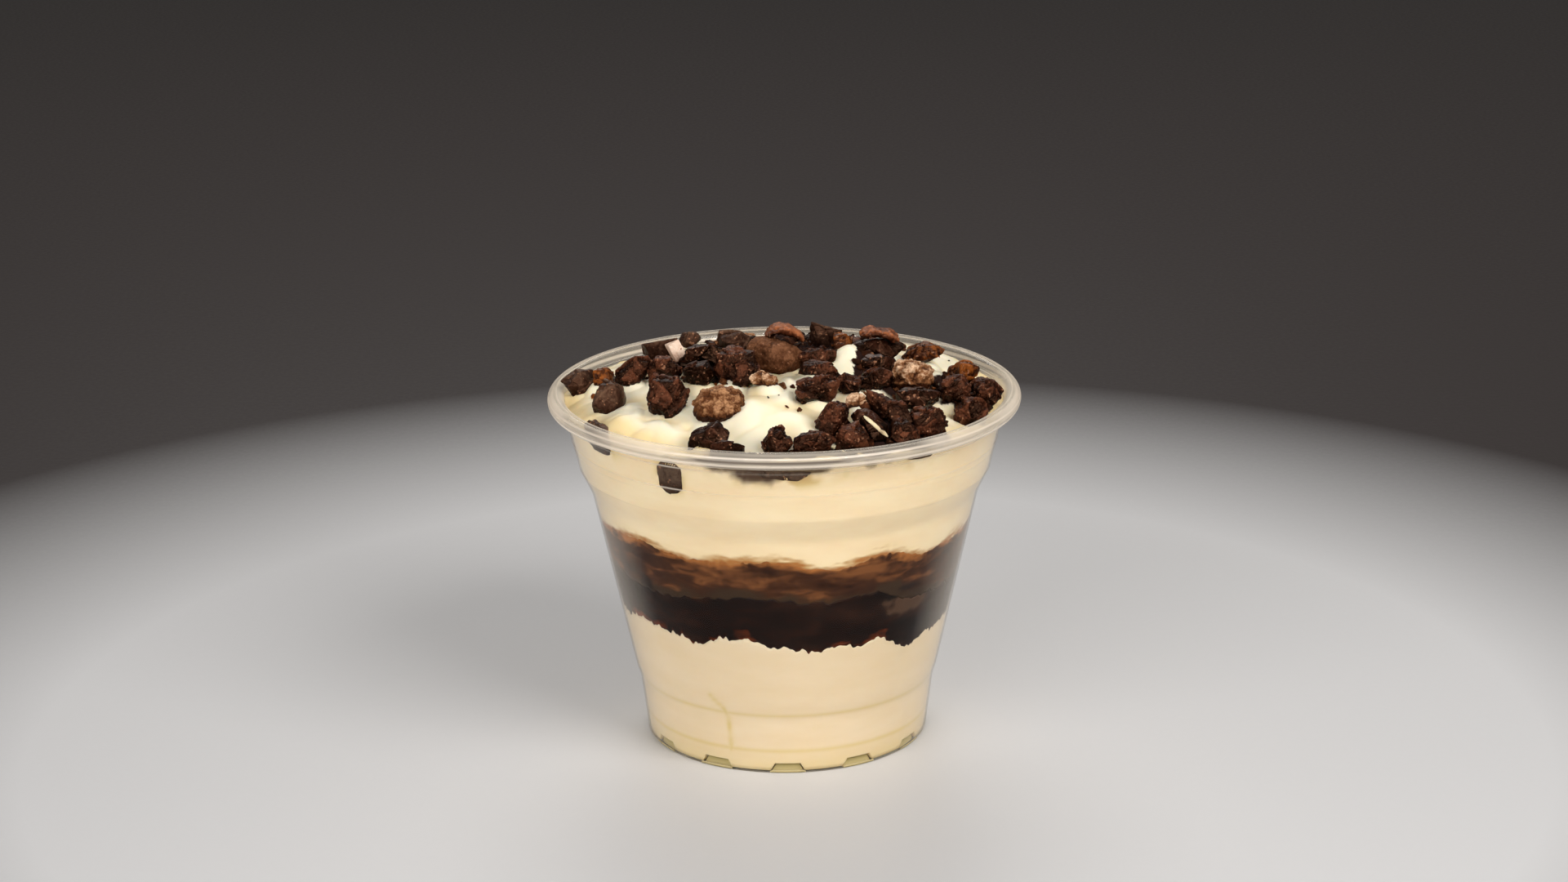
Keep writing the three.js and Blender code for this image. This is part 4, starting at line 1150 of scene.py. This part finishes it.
def broken_piece(corners, kind, cells, seed):
    """Points in millimetres, quads and stored relief of one broken piece. The distance from its middle is the rounded
    hull, plus slow lobes, plus shards less their creases, plus grains, less pits. Small pieces get less of it all. The
    stored relief, which picks the colour, is also raised along the worn edges, partly as a painted highlight, and
    towards the top, as painted light from above, and lowered from below, as painted shade, which in biscuit also stands
    for its dark base. A tall kind is drawn out upwards."""
    form = KIND_FORMS[kind]
    middle, directions, distances = hull_faces(corners)
    ways, quads = BALLS[cells]
    reach, edge = rounded_hull(ways, directions, distances, form.sharpness)
    reach = reach * form.grow
    spot = ways * reach[:, None]
    shifted = spot + 0.5 * np.stack([waves(spot, 1.5, seed + 40 + axis) for axis in range(3)], axis=-1)
    rough = form.lobes * waves(spot, 2.6, seed)
    for number, (size, rise, crease) in enumerate(form.shards):
        height, between_shards = shards(shifted, size, seed + 7 + 5 * number)
        rough = rough + rise * height - crease * between_shards
    for number, (size, rise) in enumerate(form.grains):
        rough = rough + rise * grains(shifted, size, seed + 60 + 5 * number)
    rough = rough - form.pits * held(waves(spot, 1.6, seed + 3) * -1.6 - 0.35)
    scale = min(1.0, reach.mean() / FULL_RELIEF_FROM)
    points = middle + ways * (reach + rough * scale)[:, None]
    level = (points[:, 2] - points[:, 2].min()) / np.ptp(points[:, 2])
    points[:, 2] += form.tall * level**2
    # Painted light and shade: the relief is raised along the edges and towards the top and lowered near the base.
    relief = rough + EDGE_WEAR_AND_HIGHLIGHT * edge + PAINTED_TOP_LIGHT * (level - 0.5)
    return points, quads, relief - form.soaked * held((0.42 - level) / 0.2)


print("Kinds of broken piece:", ", ".join(KIND_FORMS))

# %% Finishes of the pieces
GLINT_FLECK = rgb(150, 106, 80)
RELIEF_LOW, RELIEF_HIGH = -0.9, 0.7


def crumb_finish(name, dark, middle, light, size, shine, depth):
    """Crumb or broken chocolate: the stored relief and two noises pick the colour, dark in the creases and light on the
    grains, which paints shade into the creases and light on the raised parts. Light flecks on the raised parts are
    painted glints. Its gloss is tinted warm, and a low index of refraction keeps it from turning grey where it is seen
    at a slant."""
    material, tree = new_material(name)
    coarse, fine = noise(tree, size * 4, detail=3), noise(tree, size, detail=4, roughness=0.7)
    height = spread(tree, stored(tree, "relief"), RELIEF_LOW, RELIEF_HIGH)
    total = -0.32
    for value, weight in ((height, 0.5), (coarse, 0.55), (fine, 0.45)):
        total = arithmetic(tree, "MULTIPLY_ADD", value, weight, total)
    # Painted shade and light: dark in the creases and low down, light on the raised parts and on top.
    colour = ramp(tree, total, [(0.28, rgb(*dark)), (0.5, rgb(*middle)), (0.76, rgb(*light))])
    # Painted glints: light flecks on the raised parts.
    glint_flecks = arithmetic(tree, "MULTIPLY", spread(tree, noise(tree, 0.75, detail=1), 0.66, 0.7), height)
    finish_material(tree, place_node(tree, "BsdfPrincipled", {
        "Base Color": blend(tree, glint_flecks, colour, GLINT_FLECK), "Roughness": spread(tree, fine, 0.35, 0.65, *shine),
        "Normal": bumps(tree, fine, depth, 0.8), "IOR": 1.24, "Specular IOR Level": 0.5,
        "Specular Tint": (1.0, 0.5, 0.3, 1.0)}))
    return material


# For each kind: slot and material, dark, middle and light colour, size of the noise in millimetres,
# least and most roughness, and depth of the bumps.
KIND_FINISHES = {
    "cocoa": ("brownie", "brownie_crumb", (8, 1, 0), (31, 10, 4), (96, 54, 36), 0.5, (0.2, 0.45), 0.2),
    "rubble": ("brownie", "brownie_rubble", (8, 1, 0), (34, 11, 3), (94, 52, 31), 0.5, (0.55, 0.85), 0.2),
    "black": ("dark_chocolate", "black_chocolate", (4, 1, 0), (18, 6, 2), (56, 29, 19), 0.6, (0.2, 0.45), 0.08),
    "grey": ("dark_chocolate", "snapped_chocolate", (28, 12, 6), (54, 34, 25), (100, 76, 60), 0.7, (0.3, 0.55), 0.08),
    "mound": ("brownie", "powdery_brownie", (42, 17, 5), (78, 46, 27), (130, 88, 62), 0.45, (0.6, 0.85), 0.2),
    "rust": ("red_brown_piece", "red_brown_crumb", (17, 4, 1), (42, 16, 6), (152, 84, 34), 1.1, (0.24, 0.5), 0.12),
    "curl": ("red_brown_piece", "chocolate_shaving", (28, 9, 4), (78, 38, 20), (172, 104, 66), 0.6, (0.28, 0.5), 0.16),
    "tan": ("biscuit", "biscuit_crumb", (34, 12, 4), (96, 57, 31), (190, 142, 102), 0.4, (0.42, 0.7), 0.2),
    "nut": ("biscuit", "pale_biscuit", (50, 22, 9), (130, 86, 54), (240, 202, 166), 0.45, (0.42, 0.7), 0.2),
    "pink": ("biscuit", "pale_slab", (178, 136, 112), (222, 190, 168), (242, 220, 200), 0.7, (0.45, 0.7), 0.2),
    "pressed": ("dark_chocolate", "pressed_chocolate", (36, 23, 14), (62, 46, 35), (98, 80, 66), 0.7, (0.5, 0.7), 0.05),
}
LOOKS.update({kind: (crumb_finish(*finish), slot) for kind, (slot, *finish) in KIND_FINISHES.items()})
print(len(KIND_FINISHES), "finishes for pieces")

# %% Loose pieces
MADE_AS = {"pressed_01": "grey", "pressed_03": "black", "grey_05": "mound", "tan_02": "nut", "tan_03": "nut",
           "tan_04": "nut", "rust_03": "cocoa", "cocoa_11": "grey"}


def kind_of(name):
    """The kind that a piece is made as: by its node's name, unless it is listed otherwise."""
    return MADE_AS.get(name, name.split("_")[0])


def add_broken(name, kind, corners, cells, seed, nodes=()):
    """A broken piece in its kind's form and finish."""
    points, quads, relief = broken_piece(corners, kind, cells, seed)
    add_piece(name, points, quads, *LOOKS[kind], nodes, {"relief": relief})


for number, name in enumerate(LOOSE):
    add_broken(name + "_seen", kind_of(name), node_points(name), FINE, 100 + 31 * number, [name])
print("Made", len(LOOSE), "pieces of", len(BALLS[FINE][1]), "faces")

# %% [markdown]
# ## Pieces against the wall
# Five flat pieces show through the plastic where they are pressed against it. They are made as
# the others are, then pushed outwards and held at the wall, which flattens the face that shows.

# %% Pressed pieces
PRESSED_PUSH, PRESSED_BITE, PRESSED_RAGGED = 0.95, 0.2, 0.45
# These narrow downwards to a blunt point: half turn at the foot, degrees a millimetre, and give.
TAPERED, TAPER = ("pressed_02", "pressed_04"), (1.5, 2.0, 1.6)
# These leave the wall below that height of their own, by so many millimetres.
SUNK_BELOW, SUNK_BY = {"pressed_04": 1.5, "pressed_05": 1.9}, 2.2
TALLER = {"pressed_02": 1.24}

for number, name in enumerate(nodes_of("pressed")):
    points, quads, relief = broken_piece(node_points(name), "black", PLAIN, 900 + 17 * number)
    points[:, 2] += (TALLER.get(name, 1) - 1) * (points[:, 2] - points[:, 2].mean())
    flat, height = np.hypot(points[:, 0], points[:, 1]), points[:, 2] - points[:, 2].min()
    ragged = PRESSED_RAGGED * (waves(points, 2.6, 17 + number) + 0.5 * waves(points, 1.1, 27 + number))
    if name in TAPERED:
        half_turn, widening, give = TAPER
        beside = np.abs(turn_of(points) - turn_of(points).mean())
        ragged = ragged - give * held((beside - half_turn - widening * height) / 1.5)
    if name in SUNK_BELOW:
        sunk = SUNK_BELOW[name] + 0.5 * waves(points, 2.2, 57) - height
        ragged = ragged - SUNK_BY * held(sunk / 0.5)
    wanted = np.minimum(flat + PRESSED_PUSH + ragged, inner_wall(points[:, 2], PRESSED_BITE))
    points[:, :2] *= (wanted / flat)[:, None]
    add_piece(name + "_seen", points, quads, *LOOKS[kind_of(name)], [name], {"relief": relief})
    print(name, "is made as", kind_of(name))

# %% [markdown]
# ## The far side of the heap
# More broken pieces lie half sunk in the cream behind. In the CAD model they are one with the
# cream, so here they are worked out again by the same rule: a spiral over an oval, with corner
# points drawn from the same stream of numbers.

# %% Corners of a far piece
BEHIND_COUNT = 15
BEHIND_MIDDLE, BEHIND_HALF = (4, 26), (21, 16)
BEHIND_SIZES = (5, 7.4)
BEHIND_SHAPE = np.array([1, 0.85, 0.72])
BEHIND_RISE = -0.06
GOLDEN_TURN = math.pi * (3 - math.sqrt(5))


def turned(x, y, z):
    """The matrix that turns about z, then y, then x."""
    return np.array(Matrix.Rotation(x, 3, "X") @ Matrix.Rotation(y, 3, "Y") @ Matrix.Rotation(z, 3, "Z"))


def rough_corners(count, spread_by, draw):
    """Corners of a crag: ways spread evenly over a ball, pushed out towards the faces of a box."""
    corners = []
    for index in range(count):
        rise = 1 - 2 * (index + 0.5) / count
        turn = index * GOLDEN_TURN + next(draw) * 0.6
        flat = math.sqrt(1 - rise * rise)
        way = np.array([flat * math.cos(turn), flat * math.sin(turn), rise])
        corners.append(way * (1.04 - spread_by * next(draw)) / np.cbrt((np.abs(way) ** 3).sum()))
    return np.array(corners)


print("A quarter turn about z:", turned(0, 0, math.pi / 2).round().tolist())

# %% Far pieces
def far_corners(number):
    """Corners of one far piece, in its place on the cream."""
    draw = number_stream(409 + number * 71)
    out, turn = math.sqrt((number + 0.5) / BEHIND_COUNT), number * GOLDEN_TURN
    across = BEHIND_MIDDLE[0] + BEHIND_HALF[0] * out * math.cos(turn)
    deep = BEHIND_MIDDLE[1] + BEHIND_HALF[1] * out * math.sin(turn)
    size = BEHIND_SIZES[0] + (BEHIND_SIZES[1] - BEHIND_SIZES[0]) * next(draw)
    pose = turned((next(draw) - 0.5) * 0.5, (next(draw) - 0.5) * 0.5, next(draw) * math.pi)
    corners = (rough_corners(13, 0.34, draw) * (size / 2 * BEHIND_SHAPE)) @ pose.T
    return corners + (across, deep, cream_surface(across, deep) + size * BEHIND_RISE)


FAR_KINDS = ("cocoa", "cocoa", "black", "cocoa", "tan")
for number in range(BEHIND_COUNT):
    kind = FAR_KINDS[number % len(FAR_KINDS)]
    add_broken(f"far_{kind}_{number + 1:02d}", kind, far_corners(number), PLAIN, 700 + 23 * number)
print("Far pieces:", BEHIND_COUNT)

# %% [markdown]
# ## Chocolate curls
# Two thin shavings lie on top. A shaving is a strip that bends as it comes off the block, thick
# in the middle and thin at its ragged ends. Its section is an ellipse carried along an arc.

# %% Curls
CURLS = {
    "curl_1": dict(across=-0.3, deep=-3.4, radius=5.5, thickness=1.8, width=6, sweep=118, lean=8, lift=0.4),
    "curl_2": dict(across=18.8, deep=1, radius=7.8, thickness=1.9, width=6, sweep=74, lean=10, lift=0.15),
}
CURL_ROWS, CURL_COLUMNS = 90, 60


def curl_points(curl, top, seed):
    """A grid along and round a bent strip: at each step along the arc, a flattened ring of the
    strip's width and thickness, with waves that make its long edges ragged."""
    along = np.linspace(-1, 1, CURL_ROWS)[:, None]
    round_it = np.linspace(0, 2 * math.pi, CURL_COLUMNS, endpoint=False)[None, :]
    ends = np.sqrt(held(1 - along**6))
    wide = np.sign(np.cos(round_it)) * np.abs(np.cos(round_it)) ** 0.6 * curl["width"] / 2 * ends
    thick = np.sin(round_it) * curl["thickness"] / 2 * 0.8 * (0.35 + 0.65 * ends) * ends
    angle = along * math.radians(curl["sweep"] / 2) + 0 * round_it
    radius = curl["radius"] - curl["thickness"] / 2 + thick
    grid = np.stack([radius * np.sin(angle), wide + 0 * angle, radius * np.cos(angle)], axis=-1)
    rough = 0.3 * waves(grid, 2.4, seed) + 0.22 * waves(grid, 1.0, seed + 1) + 0.12 * grains(grid, 0.8, seed + 2)
    outward = np.stack([np.sin(angle), 0 * angle, np.cos(angle)], axis=-1) * np.sign(np.sin(round_it))[..., None]
    grid = grid + outward * rough[..., None]
    grid[..., 1] += rough * np.sign(np.cos(round_it)) * 0.8
    grid = grid @ np.array(Matrix.Rotation(math.radians(curl["lean"]), 3, "Y")).T
    grid = grid + (curl["across"], curl["deep"], 0)
    grid[..., 2] += top - grid[..., 2].max()
    grid[0], grid[-1] = grid[0].mean(axis=0), grid[-1].mean(axis=0)
    # The relief returned makes the outer face of the strip lighter and its inner face darker: painted light and shade.
    return grid, rough + 0.9 * np.sin(round_it) - 0.4


for number, (name, curl) in enumerate(CURLS.items()):
    grid, relief = curl_points(curl, node_points(name)[:, 2].max() + curl["lift"], 50 + number)
    points, faces = closed_skin(grid)
    add_piece(name + "_seen", points, faces, *LOOKS["curl"], [name], {"relief": per_point(relief)})
print("Curls:", ", ".join(CURLS))

# %% [markdown]
# ## Rubble and crumbs
# What broke off the pieces fills the gaps between them, thickly where the pieces crowd together,
# and leaves patches of cream bare. Each kind is one mesh, because hundreds of objects would be slow,
# and each fragment is a small ball of a few dozen faces cut to an odd box and shaded flat.

# %% Fragments
# Each bed is the middle of an oval across and deep, its two half widths, and how many fragments.
RUBBLE_BEDS = CROWDED + [(-23, 5, 8, 5, 16), (4, 26, 26, 15, 30)]
BISCUIT_BEDS = [(2.8, -29.6, 0.1, 0.1, 1), (-8, -18, 8, 4, 12), (24, -18, 11, 9, 16), (-26, -4, 9, 6, 8),
                (4, 22, 22, 12, 20)]
CRUMB_BEDS = [(0, 0, 40, 40, 90)]
SCATTER_RADIUS = 43.2
CUTS, CUT_SHARPNESS = 10, 14


def scattered(beds, sizes, seed, rest=0.15):
    """Points, quads and relief of many fragments. Places are drawn evenly over each oval, sizes
    between the two given, more small than large. Each fragment is a cube with random faces cut off
    it, by the same sum of powers as the larger pieces, stretched by its half widths and turned at
    random. It lies on the cream with that share of its size above its middle."""
    random = np.random.default_rng(seed)
    ways, quads = BALLS[CRUDE]
    middle_x, middle_y, half_x, half_y = np.repeat(
        np.array([bed[:4] for bed in beds], float), [bed[4] for bed in beds], axis=0).T
    out, turn = np.sqrt(random.random(len(middle_x))), random.random(len(middle_x)) * 2 * math.pi
    across, deep = middle_x + half_x * out * np.cos(turn), middle_y + half_y * out * np.sin(turn)
    kept = (np.hypot(across, deep) < SCATTER_RADIUS) & ~is_bare(across, deep)
    across, deep = across[kept], deep[kept]
    count = len(across)
    size = sizes[0] + (sizes[1] - sizes[0]) * random.random(count) ** 2
    halves = size[:, None] / 2 * (0.6 + 0.7 * random.random((count, 3)))
    cuts = unit(random.normal(size=(count, CUTS, 3))) / (0.5 + 0.5 * random.random((count, CUTS, 1)))
    facing = np.maximum(np.einsum("vk,cnk->cvn", ways, cuts), 0)
    box = np.abs(ways)[None].repeat(count, axis=0)
    reach = (np.concatenate([facing, box], axis=2) ** CUT_SHARPNESS).sum(axis=2) ** (-1 / CUT_SHARPNESS)
    spins = np.linalg.qr(random.normal(size=(count, 3, 3)))[0]
    shape = (ways * reach[..., None] * halves[:, None]) @ (spins * np.linalg.det(spins)[:, None, None])
    centre = np.stack([across, deep, whipped(across, deep) + rest * size], axis=-1)
    quads = quads + len(ways) * np.arange(count)[:, None, None]
    relief = np.repeat(random.random(count) - 0.6, len(ways))
    return (shape + centre[:, None]).reshape(-1, 3), quads.reshape(-1, 4), relief


print("A fragment has", len(BALLS[CRUDE][1]), "faces")

# %% Rubble and crumbs
for name, kind, beds, sizes, seed, lighter in (
        ("brownie_rubble", "rubble", RUBBLE_BEDS, (1.1, 3.1), 5, 0.0),
        ("biscuit_rubble", "tan", BISCUIT_BEDS, (0.9, 2.2), 6, 0.0),
        ("crumbs", "rust", CRUMB_BEDS, (0.35, 1.3), 7, 0.4)):
    points, quads, relief = scattered(beds, sizes, seed)
    piece = add_piece(name, points, quads, *LOOKS[kind], stored_values={"relief": relief + lighter})
    piece.data.shade_flat()
    print(name, "has", len(points) // len(BALLS[CRUDE][0]), "fragments")

# %% A streak of cream on a slab
STREAK = np.array([(15.5, -34.9, 78.0), (17.9, -36.7, 76.4), (20.4, -36.5, 74.0)])
STREAK_HALF = 0.5

along = np.linspace(0, 1, 30)[:, None]
start, through, end = STREAK
handle = 2 * through - (start + end) / 2
middle = start * (1 - along) ** 2 + handle * 2 * along * (1 - along) + end * along**2
way = np.gradient(middle, axis=0)
outwards = unit(np.cross(way, np.cross((0.3, -1.0, 0.5), way)))
across = unit(np.cross(outwards, way))
angle = np.linspace(0, 2 * math.pi, 20, endpoint=False)[None, :, None]
half = STREAK_HALF * np.sqrt(np.sin(math.pi * along)) * (1 + 0.35 * waves(middle, 1.5, 95)[:, None])
grid = middle[:, None] + half[:, None] * (0.7 * np.cos(angle) * outwards[:, None] + np.sin(angle) * across[:, None])
points, faces = closed_skin(grid)
crumbly = np.clip(0.3 + 0.8 * waves(points, 1.1, 97), 0, 0.8)
# The streak takes part of the hollow colour all over, a painted shade.
add_piece("cream_streak", points, faces, *LOOKS["cream_upper"], stored_values={
    "hollow": np.full(len(points), 0.6), "stain": 0.5 * crumbly, "soil": crumbly**2})
print("Streak of cream:", len(faces), "faces")
